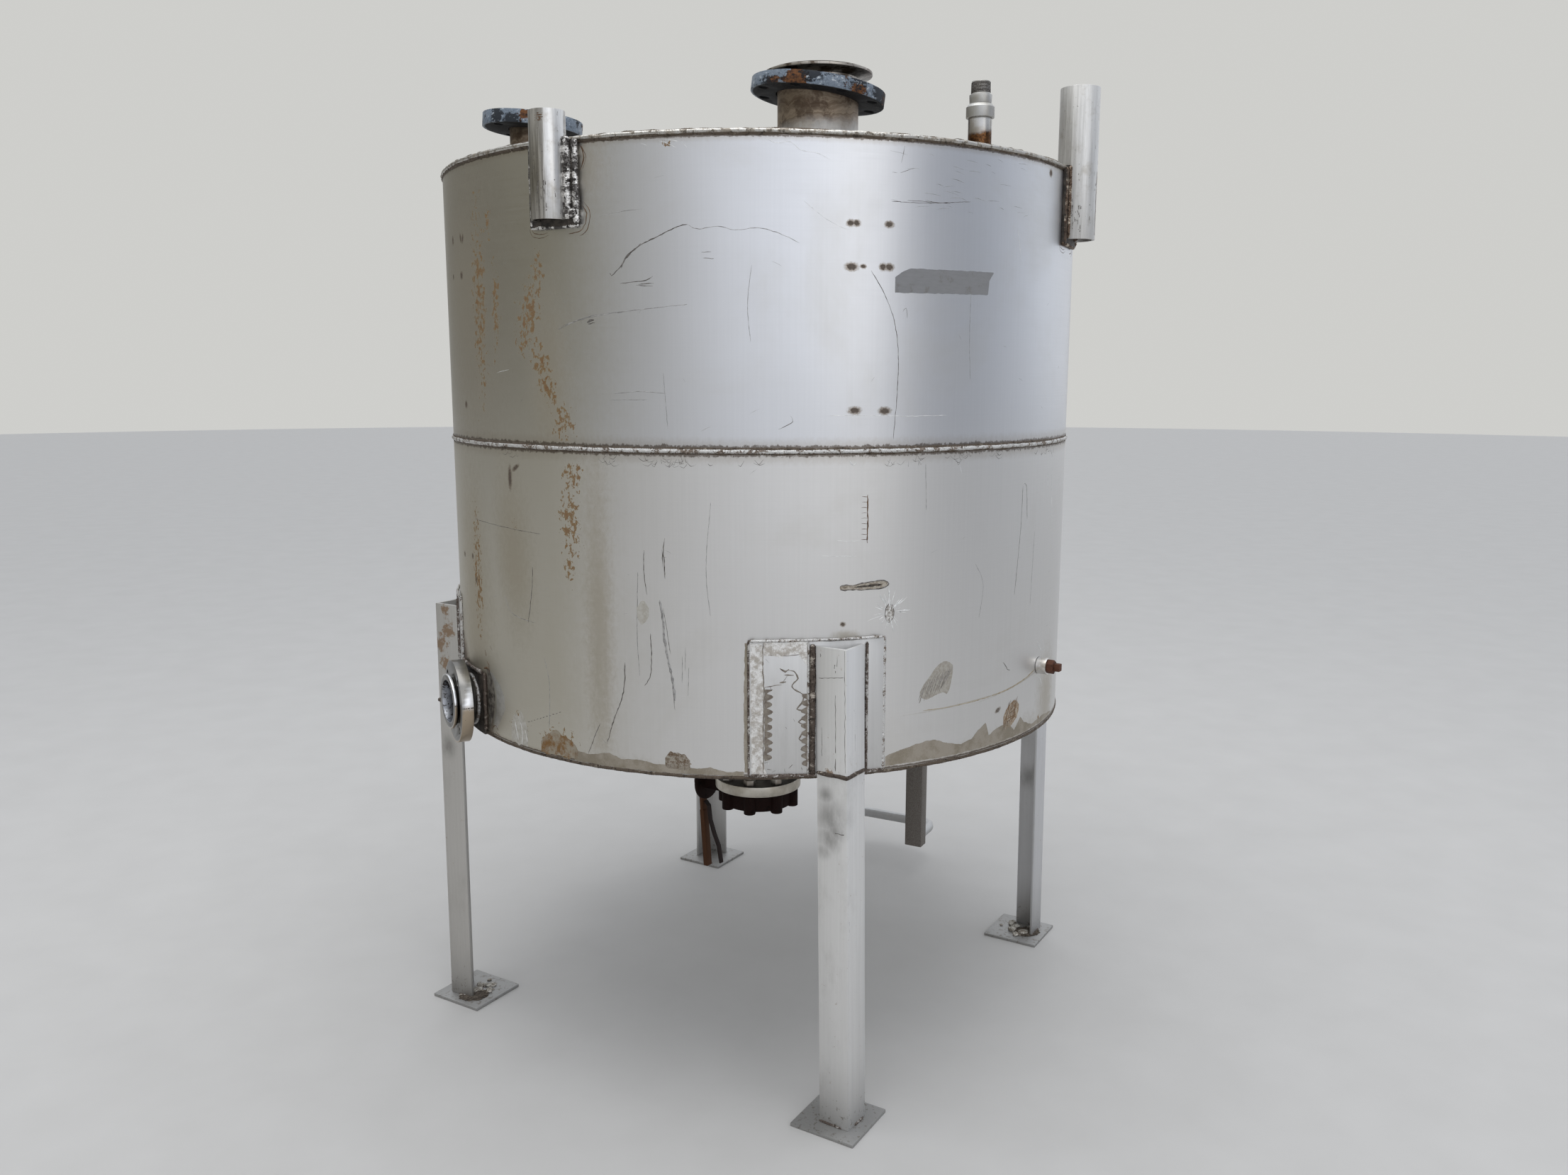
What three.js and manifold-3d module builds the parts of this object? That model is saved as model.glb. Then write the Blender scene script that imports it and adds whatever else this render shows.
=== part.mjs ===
// Vertical storage tank: a stainless shell in two courses on four angle-iron legs, with roof nozzles,
// a low side nozzle, a drain, a bottom outlet with a lever valve, two pipe sockets and a ladder.
// Millimetres, +Z up. The origin is on the floor under the middle of the tank, and the front leg is at -Y.
import * as THREE from "three";
import { mergeVertices } from "three/addons/utils/BufferGeometryUtils.js";
import Module from "manifold-3d";

const wasm = await Module();
wasm.setup();

// Tank body
const TANK_RADIUS = 635;
const SHELL_WALL = 5;
const BASE_Z = 646;
const BASE_THICK = 6;
const RIM_Z = 1700;
const ROOF_THICK = 8;
const GIRTH_Z = 1204;
const GAP = 0.3;

// Legs, their pads on the shell and their foot plates
const ANGLE_LEG = 60;
const ANGLE_THICK = 6;
const LEGS = [
  { side: "front", heel: 687.3, top: 880, turn: -2.5, splay: 0, lean: 0.8, shift: 3.5 },
  { side: "right", heel: 685.8, top: 878, turn: 0, splay: 0.5, lean: 0, shift: 0 },
  { side: "back", heel: 685.8, top: 868, turn: 0, splay: 0, lean: 0, shift: 0 },
  { side: "left", heel: 685.8, top: 864, turn: 0, splay: 0.25, lean: 0, shift: 0 },
];
const LEG_PAD_THICK = 5;
const LEG_PAD_TOP = 887;
const LEG_PAD_FOOT = 654;
const LEG_PAD_FROM = -14.3;
const LEG_PAD_TO = 6.6;
const FOOT_SIDE = 127;
const FOOT_THICK = 6.35;
const FOOT_RADIUS = 637;

// Low side nozzle with its loose flange
const SIDE_NOZZLE_AZIMUTH = -74;
const SIDE_NOZZLE_Z = 704;
const SIDE_PIPE_RADIUS = 44.45;
const SIDE_PIPE_WALL = 3.2;
const SIDE_LAP_RADIUS = 53.5;
const SIDE_LAP_FACE = 690.5;
const SIDE_FLANGE_RADIUS = 80;
const SIDE_FLANGE_MIDDLE = 668;
const SIDE_FLANGE_THICK = 22;
const SIDE_FLANGE_PLAY = 2.2;
const SIDE_FLANGE_TWIST = 3.5;
const SIDE_PAD_FROM = -6.5;
const SIDE_PAD_TO = 5.7;
const SIDE_PAD_TOP = 766;
const SIDE_PAD_THICK = 6;

// Large roof nozzle with its tilted loose flange
const ROOF_NOZZLE_X = 126;
const ROOF_NOZZLE_Y = 16;
const ROOF_PIPE_RADIUS = 84.15;
const ROOF_PIPE_WALL = 3.4;
const ROOF_LAP_RADIUS = 113;
const ROOF_LAP_Z = 1941;
const ROOF_FLANGE_RADIUS = 139.7;
const ROOF_FLANGE_THICK = 25;
const ROOF_FLANGE_Z = 1903;
const ROOF_FLANGE_TILT = 7.3;
const TILT_HEADING = -13.6;

// Small flanged roof nozzle near the edge
const EDGE_NOZZLE_AZIMUTH = -85.2;
const EDGE_NOZZLE_RADIUS = 462;
const EDGE_PIPE_RADIUS = 44.45;
const EDGE_PIPE_WALL = 5.5;
const EDGE_FLANGE_RADIUS = 95.25;
const EDGE_FLANGE_THICK = 24;
const EDGE_FLANGE_Z = 1803;
const EDGE_FLANGE_TILT = 4.7;

// Threaded vent on the roof
const VENT_AZIMUTH = 34.3;
const VENT_RADIUS = 534.5;
const VENT_NIPPLE_RADIUS = 21.1;
const VENT_BORE = 15;
const VENT_NIPPLE_TOP = 1776;
const VENT_UNION_TOP = 1800;
const VENT_COLLAR_TOP = 1815;
const VENT_TOP = 1838;

// Pipe sockets coped over the roof edge, each on a backing plate
const SOCKETS = [
  { side: "left", azimuth: -44.8, radius: 30.15, wall: 3.9, top: 1748 },
  { side: "right", azimuth: 53.0, radius: 36.5, wall: 5.2, top: 1848 },
];
const SOCKET_CENTRE = 649;
const SOCKET_FOOT = 1577;
const SOCKET_PLATE_FOOT = 1568;
const SOCKET_PLATE_HALF_DEGREES = 4.5;
const SOCKET_PLATE_THICK = 8;

// Drain on the shell
const DRAIN_AZIMUTH = 44.7;
const DRAIN_Z = 776;
const DRAIN_COUPLING_RADIUS = 16;
const DRAIN_COUPLING_LENGTH = 20;
const DRAIN_BUSHING_FLATS = 24;
const DRAIN_BUSHING_LENGTH = 12.5;
const DRAIN_PLUG_SIDE = 14;
const DRAIN_PLUG_LENGTH = 12.5;

// Bottom outlet: pipe, flange and lug valve, with its stem and lever towards the back left
const OUTLET_X = -8;
const OUTLET_PIPE_RADIUS = 44.45;
const OUTLET_PIPE_WALL = 3.2;
const OUTLET_FLANGE_RADIUS = 95.25;
const OUTLET_FLANGE_TOP = 446;
const OUTLET_FLANGE_THICK = 23;
const VALVE_BODY_RADIUS = 77;
const VALVE_FOOT = 384;
const VALVE_LUG_FOOT = 380;
const VALVE_BORE = 41.25;
const VALVE_LUGS = 8;
const VALVE_LUG_CIRCLE = 78;
const VALVE_LUG_RADIUS = 13;
const VALVE_FIRST_LUG = 22.5;
const STEM_AZIMUTH = -138.5;
const NECK_SIDE = 28;
const NECK_END = 141;
const NECK_PLATE_RADIUS = 43;
const NECK_PLATE_THICK = 8;
const STEM_RADIUS = 8;
const DISC_RADIUS = 35.5;
const DISC_THICK = 12;
const DISC_HUB_RADIUS = 13;
const LEVER_X = -161;
const LEVER_HUB_RADIUS = 20;
const LEVER_HUB_THICK = 14;
const LEVER_LENGTH = 206;
const LEVER_WIDTH = 18;
const LEVER_ARM_THICK = 8;
const LEVER_GRIP_THICK = 11;
const LEVER_GRIP_FROM = 72;
const LEVER_SLANT = 15;
const TRIGGER_WIDTH = 12;
const TRIGGER_THICK = 4;
const TRIGGER_LINE = [
  [-152.6, -50],
  [-143, -60],
  [-138.5, -95],
  [-127, -127],
  [-115, -152],
  [-108, -192],
];

// Ladder at the back right
const LADDER_AZIMUTH = 138.5;
const LADDER_HALF_WIDTH = 116.5;
const LADDER_PLANE = 628.6;
const STILE_FACE = 46;
const STILE_SIDE = 35;
const STILE_HEEL = 139;
const STILE_THICK = 4.8;
const STILE_FOOT = 78;
const STILE_TOP = 1690;
const RUNG_RADIUS = 13.35;
const RUNG_WALL = 2.85;
const RUNG_STANDOFF = 145;
const RUNG_BEND = 42;
const RUNG_FIRST_Z = 94;
const RUNG_PITCH = 300;
const RUNG_COUNT = 6;

const DEGREE = Math.PI / 180;
const tank = new THREE.Group();

// Finishes
function finish(color, roughness, metalness) {
  return new THREE.MeshStandardMaterial({ color, roughness, metalness });
}
const dullStainless = finish(0xa3a6a8, 0.42, 0.9);
const brightStainless = finish(0xc9cbcd, 0.25, 1);
const legStainless = finish(0xb4b4b2, 0.5, 0.8);
const paintedFlange = finish(0x7d8b99, 0.6, 0.2);
const rustyIron = finish(0x4a2f24, 0.85, 0.3);
const brownPipe = finish(0x6b5a49, 0.7, 0.5);
const gasketBlack = finish(0x1c1a19, 0.9, 0);
const ladderSteel = finish(0x5c5b59, 0.5, 0.8);

// A unit vector on the plan, at an azimuth in degrees counted from the front (-Y) towards +X.
function outward(azimuth) {
  return new THREE.Vector2(Math.sin(azimuth * DEGREE), -Math.cos(azimuth * DEGREE));
}

function addPiece(name, geometry, material, parent = tank) {
  const piece = new THREE.Mesh(geometry, material);
  piece.name = name;
  parent.add(piece);
  return piece;
}

// A group that stands at an azimuth with its local +X pointing away from the tank's axis.
function placedAt(azimuth, radius = 0, z = 0, parent = tank) {
  const place = new THREE.Group();
  const direction = outward(azimuth);
  place.position.set(direction.x * radius, direction.y * radius, z);
  place.rotation.z = (azimuth - 90) * DEGREE;
  parent.add(place);
  return place;
}

// Closed meshes to solids and back, for cuts and joins.
function toSolid(geometry) {
  const bare = geometry.clone();
  bare.deleteAttribute("normal");
  bare.deleteAttribute("uv");
  const merged = mergeVertices(bare, 1e-4);
  return new wasm.Manifold(new wasm.Mesh({
    numProp: 3,
    vertProperties: merged.attributes.position.array,
    triVerts: new Uint32Array(merged.index.array),
  }));
}

function toGeometry(solid) {
  const mesh = solid.getMesh();
  const geometry = new THREE.BufferGeometry();
  geometry.setAttribute("position", new THREE.BufferAttribute(mesh.vertProperties, 3));
  geometry.setIndex(new THREE.BufferAttribute(mesh.triVerts, 1));
  geometry.computeVertexNormals();
  return geometry;
}

function cut(geometry, ...tools) {
  const start = toSolid(geometry);
  return toGeometry(tools.reduce((solid, tool) => solid.subtract(toSolid(tool)), start));
}

function join(geometry, ...others) {
  const start = toSolid(geometry);
  return toGeometry(others.reduce((solid, other) => solid.add(toSolid(other)), start));
}

// A profile of [radius, height] points turned about +Z.
function turned(profile, segments) {
  const points = profile.map(([radius, height]) => new THREE.Vector2(radius, height));
  return new THREE.LatheGeometry(points, segments).rotateX(Math.PI / 2);
}

// A turned piece whose axis is local +X instead.
function turnedAlongX(profile, segments) {
  return turned(profile, segments).rotateY(Math.PI / 2);
}

function pipe(outer, inner, from, to, segments = 48) {
  return turned([[inner, from], [outer, from], [outer, to], [inner, to], [inner, from]], segments);
}

function rod(radius, from, to, segments = 24) {
  return turned([[0, from], [radius, from], [radius, to], [0, to]], segments);
}

function slab(points, from, to) {
  const shape = new THREE.Shape(points.map(([x, y]) => new THREE.Vector2(x, y)));
  return new THREE.ExtrudeGeometry(shape, { depth: to - from, bevelEnabled: false }).translate(0, 0, from);
}

function rectangle(left, front, right, back) {
  return [[left, front], [right, front], [right, back], [left, back]];
}

// A curved plate between two azimuths, on the tank's own facets so that plates nest without touching.
const FACET = 3.75;
function curvedPlate(inner, outer, fromAzimuth, toAzimuth, fromZ, toZ) {
  const azimuths = [fromAzimuth];
  for (let a = Math.floor(fromAzimuth / FACET + 1) * FACET; a < toAzimuth - 1e-6; a += FACET) {
    azimuths.push(a);
  }
  azimuths.push(toAzimuth);
  const arc = (radius) => azimuths.map((a) => outward(a).multiplyScalar(radius).toArray());
  return slab([...arc(outer), ...arc(inner).reverse()], fromZ, toZ);
}

function disc(radius, fromZ, toZ) {
  return turned([[0, fromZ], [radius, fromZ], [radius, toZ], [0, toZ]], 360 / FACET);
}

// Shell: two courses of rolled plate, each in a front and a back half, between flat end plates.
function radialBore(azimuth, radius, z) {
  const direction = outward(azimuth);
  return turnedAlongX([[0, 600], [radius, 600], [radius, 680], [0, 680]], 48)
    .rotateZ(Math.atan2(direction.y, direction.x))
    .translate(0, 0, z);
}

const shellFoot = BASE_Z + BASE_THICK;
const roofTop = RIM_Z + ROOF_THICK;
const inside = TANK_RADIUS - SHELL_WALL;
const sideBore = radialBore(SIDE_NOZZLE_AZIMUTH, SIDE_PIPE_RADIUS + GAP, SIDE_NOZZLE_Z);
const drainBore = radialBore(DRAIN_AZIMUTH, DRAIN_COUPLING_RADIUS - 5, DRAIN_Z);
const lowerFront = curvedPlate(inside, TANK_RADIUS, -90, 90, shellFoot, GIRTH_Z);
addPiece("shell_lower_front", cut(lowerFront, sideBore, drainBore), dullStainless);
addPiece("shell_lower_back", curvedPlate(inside, TANK_RADIUS, 90, 270, shellFoot, GIRTH_Z), dullStainless);
addPiece("shell_upper_front", curvedPlate(inside, TANK_RADIUS, -90, 90, GIRTH_Z, RIM_Z), dullStainless);
addPiece("shell_upper_back", curvedPlate(inside, TANK_RADIUS, 90, 270, GIRTH_Z, RIM_Z), dullStainless);

const outletHole = rod(OUTLET_PIPE_RADIUS + GAP, BASE_Z - 10, BASE_Z + 20, 48).translate(OUTLET_X, 0, 0);
addPiece("tank_bottom", cut(disc(TANK_RADIUS, BASE_Z, shellFoot), outletHole), dullStainless);

function holeThroughRoof(place, radius) {
  return rod(radius, RIM_Z - 10, roofTop + 10, 48).translate(place.x, place.y, 0);
}
const edgeNozzlePlace = outward(EDGE_NOZZLE_AZIMUTH).multiplyScalar(EDGE_NOZZLE_RADIUS);
const ventPlace = outward(VENT_AZIMUTH).multiplyScalar(VENT_RADIUS);
const roofHoles = [
  holeThroughRoof({ x: ROOF_NOZZLE_X, y: ROOF_NOZZLE_Y }, ROOF_PIPE_RADIUS + GAP),
  holeThroughRoof(edgeNozzlePlace, EDGE_PIPE_RADIUS + GAP),
  holeThroughRoof(ventPlace, VENT_NIPPLE_RADIUS + GAP),
];
addPiece("tank_roof", cut(disc(TANK_RADIUS, RIM_Z, roofTop), ...roofHoles), dullStainless);

// Legs: angle iron with its heel outwards, welded at both toes to a curved pad, on a square foot plate.
function angleIron(side, thick, length) {
  const outline = [[0, 0], [side, 0], [side, thick], [thick, thick], [thick, side], [0, side]];
  return slab(outline, 0, length);
}

LEGS.forEach(({ side, heel, top, turn, splay, lean, shift }, quarter) => {
  const azimuth = quarter * 90;
  const padFrom = azimuth + LEG_PAD_FROM;
  const padTo = azimuth + LEG_PAD_TO;
  const padInner = TANK_RADIUS + GAP;
  const padOuter = TANK_RADIUS + LEG_PAD_THICK;
  const pad = curvedPlate(padInner, padOuter, padFrom, padTo, LEG_PAD_FOOT, LEG_PAD_TOP);
  addPiece(`leg_pad_${side}`, pad, legStainless);
  const inwards = Math.tan(splay * DEGREE);
  const sideways = Math.tan(lean * DEGREE);
  const stand = placedAt(azimuth, heel + top * inwards, FOOT_THICK);
  const leg = angleIron(ANGLE_LEG, ANGLE_THICK, top - FOOT_THICK);
  leg.rotateZ((135 + turn) * DEGREE);
  leg.applyMatrix4(new THREE.Matrix4().makeShear(0, 0, 0, 0, -inwards, -sideways));
  addPiece(`leg_${side}`, leg, legStainless, stand).position.y = shift;
  const foot = placedAt(azimuth, FOOT_RADIUS);
  const half = FOOT_SIDE / 2;
  const plate = slab(rectangle(-half, -half, half, half), 0, FOOT_THICK).rotateZ(45 * DEGREE);
  addPiece(`foot_plate_${side}`, plate, legStainless, foot);
});

// Low side nozzle: pad, pipe with a flared lap, and a loose backing flange with four holes.
function flangeWithHoles(outer, inner, thick, holeCircle, holeRadius, count) {
  const holes = Array.from({ length: count }, (_, i) => {
    const angle = ((i + 0.5) * 2 * Math.PI) / count;
    const x = holeCircle * Math.cos(angle);
    const y = holeCircle * Math.sin(angle);
    return rod(holeRadius, -1, thick + 1, 16).translate(x, y, 0);
  });
  return cut(pipe(outer, inner, 0, thick, 48), ...holes).translate(0, 0, -thick / 2);
}

const sidePad = curvedPlate(
  TANK_RADIUS + GAP, TANK_RADIUS + SIDE_PAD_THICK, SIDE_NOZZLE_AZIMUTH + SIDE_PAD_FROM,
  SIDE_NOZZLE_AZIMUTH + SIDE_PAD_TO, BASE_Z, SIDE_PAD_TOP,
);
addPiece("side_nozzle_pad", cut(sidePad, sideBore), rustyIron);
const sideNozzle = placedAt(SIDE_NOZZLE_AZIMUTH, 0, SIDE_NOZZLE_Z);
const sideBoreRadius = SIDE_PIPE_RADIUS - SIDE_PIPE_WALL;
addPiece("side_nozzle_pipe", turnedAlongX([
  [sideBoreRadius, inside - 2],
  [SIDE_PIPE_RADIUS, inside - 2],
  [SIDE_PIPE_RADIUS, SIDE_LAP_FACE - 7.5],
  [SIDE_PIPE_RADIUS + 3, SIDE_LAP_FACE - 5],
  [SIDE_LAP_RADIUS, SIDE_LAP_FACE - 5],
  [SIDE_LAP_RADIUS, SIDE_LAP_FACE],
  [sideBoreRadius, SIDE_LAP_FACE],
  [sideBoreRadius, inside - 2],
], 48), brightStainless, sideNozzle);
const sideFlangeHole = SIDE_PIPE_RADIUS + SIDE_FLANGE_PLAY;
const sideFlange = flangeWithHoles(SIDE_FLANGE_RADIUS, sideFlangeHole, SIDE_FLANGE_THICK, 66, 7, 4);
const sideFlangePiece = addPiece("side_nozzle_flange", sideFlange, brightStainless, sideNozzle);
sideFlangePiece.rotation.set(0, Math.PI / 2, -SIDE_FLANGE_TWIST * DEGREE, "ZYX");
sideFlangePiece.position.set(SIDE_FLANGE_MIDDLE, 0, GAP - SIDE_FLANGE_PLAY);

// Large roof nozzle: pipe with a flared lap, a gasket ring, and a loose flange that hangs tilted.
const roofNozzle = new THREE.Group();
roofNozzle.position.set(ROOF_NOZZLE_X, ROOF_NOZZLE_Y, 0);
tank.add(roofNozzle);
const roofBoreRadius = ROOF_PIPE_RADIUS - ROOF_PIPE_WALL;
addPiece("roof_nozzle_pipe", turned([
  [roofBoreRadius, RIM_Z - 4],
  [ROOF_PIPE_RADIUS, RIM_Z - 4],
  [ROOF_PIPE_RADIUS, ROOF_LAP_Z - 13],
  [ROOF_PIPE_RADIUS + 7, ROOF_LAP_Z - 8],
  [ROOF_LAP_RADIUS, ROOF_LAP_Z - 5],
  [ROOF_LAP_RADIUS, ROOF_LAP_Z],
  [roofBoreRadius + 3, ROOF_LAP_Z],
  [roofBoreRadius, ROOF_LAP_Z - 6],
  [roofBoreRadius, RIM_Z - 4],
], 48), brownPipe, roofNozzle);
const gasket = pipe(105, roofBoreRadius + 6, ROOF_LAP_Z, ROOF_LAP_Z + 3);
addPiece("roof_nozzle_gasket", gasket, gasketBlack, roofNozzle);
const roofFlangeHole = ROOF_PIPE_RADIUS + 2.7;
const roofFlange = flangeWithHoles(ROOF_FLANGE_RADIUS, roofFlangeHole, ROOF_FLANGE_THICK, 120.65, 11, 8);
const roofFlangePiece = addPiece("roof_nozzle_flange", roofFlange, paintedFlange, roofNozzle);
roofFlangePiece.position.z = ROOF_FLANGE_Z;
roofFlangePiece.rotation.set(0, ROOF_FLANGE_TILT * DEGREE, TILT_HEADING * DEGREE, "ZYX");

// Small flanged roof nozzle near the edge.
const edgeNozzle = new THREE.Group();
edgeNozzle.position.set(edgeNozzlePlace.x, edgeNozzlePlace.y, 0);
tank.add(edgeNozzle);
const edgeBoreRadius = EDGE_PIPE_RADIUS - EDGE_PIPE_WALL;
const edgePipeTop = EDGE_FLANGE_Z + EDGE_FLANGE_THICK / 2 - 4;
const edgePipe = pipe(EDGE_PIPE_RADIUS, edgeBoreRadius, RIM_Z - 4, edgePipeTop);
addPiece("edge_nozzle_pipe", edgePipe, brownPipe, edgeNozzle);
const edgeFlangeHole = EDGE_PIPE_RADIUS + 1.6;
const edgeFlange = flangeWithHoles(EDGE_FLANGE_RADIUS, edgeFlangeHole, EDGE_FLANGE_THICK, 76.2, 9.5, 4);
const edgeFlangePiece = addPiece("edge_nozzle_flange", edgeFlange, paintedFlange, edgeNozzle);
edgeFlangePiece.position.z = EDGE_FLANGE_Z;
edgeFlangePiece.rotation.set(0, EDGE_FLANGE_TILT * DEGREE, TILT_HEADING * DEGREE, "ZYX");

// Threaded vent: nipple through the roof, round union nut, collar and open threaded end.
const vent = new THREE.Group();
vent.position.set(ventPlace.x, ventPlace.y, 0);
tank.add(vent);
const nipple = pipe(VENT_NIPPLE_RADIUS, VENT_BORE, RIM_Z - 4, VENT_NIPPLE_TOP, 24);
addPiece("vent_nipple", nipple, brightStainless, vent);
addPiece("vent_union", turned([
  [VENT_BORE, VENT_NIPPLE_TOP],
  [25.3, VENT_NIPPLE_TOP],
  [25.3, VENT_UNION_TOP - 6],
  [20.5, VENT_UNION_TOP],
  [VENT_BORE, VENT_UNION_TOP],
  [VENT_BORE, VENT_NIPPLE_TOP],
], 24), brightStainless, vent);
addPiece("vent_threaded_end", turned([
  [VENT_BORE, VENT_UNION_TOP],
  [19.5, VENT_UNION_TOP],
  [20.2, VENT_COLLAR_TOP],
  [16.9, VENT_COLLAR_TOP],
  [16.4, VENT_TOP],
  [VENT_BORE - 2, VENT_TOP],
  [VENT_BORE - 2, VENT_UNION_TOP + 4],
  [VENT_BORE, VENT_UNION_TOP],
], 24), brightStainless, vent);

// Pipe sockets: each pipe is cut away where it laps the roof edge and its backing plate.
SOCKETS.forEach(({ side, azimuth, radius, wall, top }) => {
  const plateOuter = TANK_RADIUS + SOCKET_PLATE_THICK;
  const plateFrom = azimuth - SOCKET_PLATE_HALF_DEGREES;
  const plateTo = azimuth + SOCKET_PLATE_HALF_DEGREES;
  const plate = curvedPlate(TANK_RADIUS + GAP, plateOuter, plateFrom, plateTo, SOCKET_PLATE_FOOT, RIM_Z);
  addPiece(`socket_plate_${side}`, plate, legStainless);
  const place = outward(azimuth).multiplyScalar(SOCKET_CENTRE);
  const tube = pipe(radius, radius - wall, SOCKET_FOOT, top).translate(place.x, place.y, 0);
  const roofEdge = disc(plateOuter + GAP, SOCKET_FOOT - 10, roofTop + GAP);
  addPiece(`pipe_socket_${side}`, cut(tube, roofEdge), legStainless);
});

// Drain: coupling welded to the shell, hex bushing and square-headed plug.
const drain = placedAt(DRAIN_AZIMUTH, TANK_RADIUS + GAP, DRAIN_Z);
addPiece("drain_coupling", turnedAlongX([
  [DRAIN_COUPLING_RADIUS - 5, 0],
  [DRAIN_COUPLING_RADIUS, 0],
  [DRAIN_COUPLING_RADIUS, DRAIN_COUPLING_LENGTH],
  [DRAIN_COUPLING_RADIUS - 5, DRAIN_COUPLING_LENGTH],
  [DRAIN_COUPLING_RADIUS - 5, 0],
], 24), brightStainless, drain);
const hexagon = Array.from({ length: 6 }, (_, i) => {
  const reach = DRAIN_BUSHING_FLATS / Math.sqrt(3);
  return [reach * Math.cos((i * Math.PI) / 3), reach * Math.sin((i * Math.PI) / 3)];
});
const bushing = slab(hexagon, 0, DRAIN_BUSHING_LENGTH).rotateY(Math.PI / 2);
addPiece("drain_bushing", bushing, rustyIron, drain).position.x = DRAIN_COUPLING_LENGTH;
const plugHalf = DRAIN_PLUG_SIDE / 2;
const plugSquare = rectangle(-plugHalf, -plugHalf, plugHalf, plugHalf);
const plug = slab(plugSquare, 0, DRAIN_PLUG_LENGTH).rotateY(Math.PI / 2);
addPiece("drain_plug", plug, rustyIron, drain).position.x = DRAIN_COUPLING_LENGTH + DRAIN_BUSHING_LENGTH;

// Bottom outlet: pipe, flange, and a lug valve body with a square neck and a round plate at its end.
const outletFlangeFoot = OUTLET_FLANGE_TOP - OUTLET_FLANGE_THICK;
const outletBore = OUTLET_PIPE_RADIUS - OUTLET_PIPE_WALL;
const outletPipe = pipe(OUTLET_PIPE_RADIUS, outletBore, OUTLET_FLANGE_TOP - 12, shellFoot + 2);
addPiece("outlet_pipe", outletPipe, brightStainless).position.x = OUTLET_X;
const outletFlange = cut(
  pipe(OUTLET_FLANGE_RADIUS, outletBore, 0, OUTLET_FLANGE_THICK, 48),
  rod(OUTLET_PIPE_RADIUS + GAP, OUTLET_FLANGE_THICK - 12, OUTLET_FLANGE_THICK + 1, 48),
).translate(0, 0, outletFlangeFoot);
addPiece("outlet_flange", outletFlange, brightStainless).position.x = OUTLET_X;

// The valve stands on its own group, with local +X along the stem and away from the lever.
const valve = new THREE.Group();
const valveMiddle = (outletFlangeFoot + VALVE_FOOT) / 2;
valve.position.set(OUTLET_X, 0, valveMiddle);
valve.rotation.z = (STEM_AZIMUTH + 90) * DEGREE;
tank.add(valve);
const valveHalf = (outletFlangeFoot - VALVE_FOOT) / 2;
const lugs = Array.from({ length: VALVE_LUGS }, (_, i) => {
  const spot = outward(VALVE_FIRST_LUG + (i * 360) / VALVE_LUGS).multiplyScalar(VALVE_LUG_CIRCLE);
  return rod(VALVE_LUG_RADIUS, VALVE_LUG_FOOT - valveMiddle, valveHalf, 16).translate(spot.x, spot.y, 0);
});
const neckHalf = NECK_SIDE / 2;
const neck = slab(rectangle(-NECK_END, -neckHalf, -60, neckHalf), -neckHalf, neckHalf);
const neckPlateEnd = -NECK_END - NECK_PLATE_THICK;
const neckPlate = turnedAlongX([
  [0, neckPlateEnd],
  [NECK_PLATE_RADIUS, neckPlateEnd],
  [NECK_PLATE_RADIUS, -NECK_END],
  [0, -NECK_END],
], 32);
const waterway = rod(VALVE_BORE, -valveHalf - 5, valveHalf + 5, 48);
const stemWay = turnedAlongX([
  [0, neckPlateEnd - 5],
  [STEM_RADIUS + GAP, neckPlateEnd - 5],
  [STEM_RADIUS + GAP, -30],
  [0, -30],
], 24);
const valveRing = pipe(VALVE_BODY_RADIUS, VALVE_BORE, -valveHalf, valveHalf);
const valveBody = cut(join(valveRing, neck, neckPlate, ...lugs), waterway, stemWay);
addPiece("valve_body", valveBody, rustyIron, valve);

// Valve trim that turns with the lever: the stem, and the disc that stands on edge while the valve is open.
const stemOuterEnd = LEVER_X - LEVER_HUB_THICK / 2 - 4;
const stemInnerEnd = DISC_HUB_RADIUS - DISC_RADIUS;
addPiece("valve_stem", turnedAlongX([
  [0, stemOuterEnd],
  [STEM_RADIUS, stemOuterEnd],
  [STEM_RADIUS, stemInnerEnd],
  [0, stemInnerEnd],
], 24), brightStainless, valve);
const discPlate = turned([
  [0, -DISC_THICK / 2],
  [DISC_RADIUS - 5, -3],
  [DISC_RADIUS, 0],
  [DISC_RADIUS - 5, 3],
  [0, DISC_THICK / 2],
], 48).rotateX(Math.PI / 2);
const discHub = turnedAlongX([
  [0, -30],
  [DISC_HUB_RADIUS, -28],
  [DISC_HUB_RADIUS, 28],
  [0, 30],
], 24);
const discSocket = turnedAlongX([
  [0, -60],
  [STEM_RADIUS + GAP, -60],
  [STEM_RADIUS + GAP, stemInnerEnd],
  [0, stemInnerEnd],
], 24);
addPiece("valve_disc", cut(join(discPlate, discHub), discSocket), brightStainless, valve);

// Lever: a round hub on the stem, an arm that slants in under the tank and a thicker grip.
const hubFrom = LEVER_X - LEVER_HUB_THICK / 2;
const hubTo = LEVER_X + LEVER_HUB_THICK / 2;
const leverHub = turnedAlongX([
  [0, hubFrom],
  [LEVER_HUB_RADIUS, hubFrom],
  [LEVER_HUB_RADIUS, hubTo],
  [0, hubTo],
], 24);
function flatBar(outline, width) {
  return slab(outline, -width / 2, width / 2).rotateX(Math.PI / 2);
}
function leverBar(thick, fromDrop, toDrop) {
  const slope = LEVER_SLANT / LEVER_LENGTH;
  const from = LEVER_X + slope * fromDrop;
  const to = LEVER_X + slope * toDrop;
  const half = thick / 2;
  const outside = [[from - half, -fromDrop], [to - half, -toDrop]];
  return flatBar([...outside, [to + half, -toDrop], [from + half, -fromDrop]], LEVER_WIDTH);
}
const leverArm = leverBar(LEVER_ARM_THICK, 0, LEVER_GRIP_FROM + 5);
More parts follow.
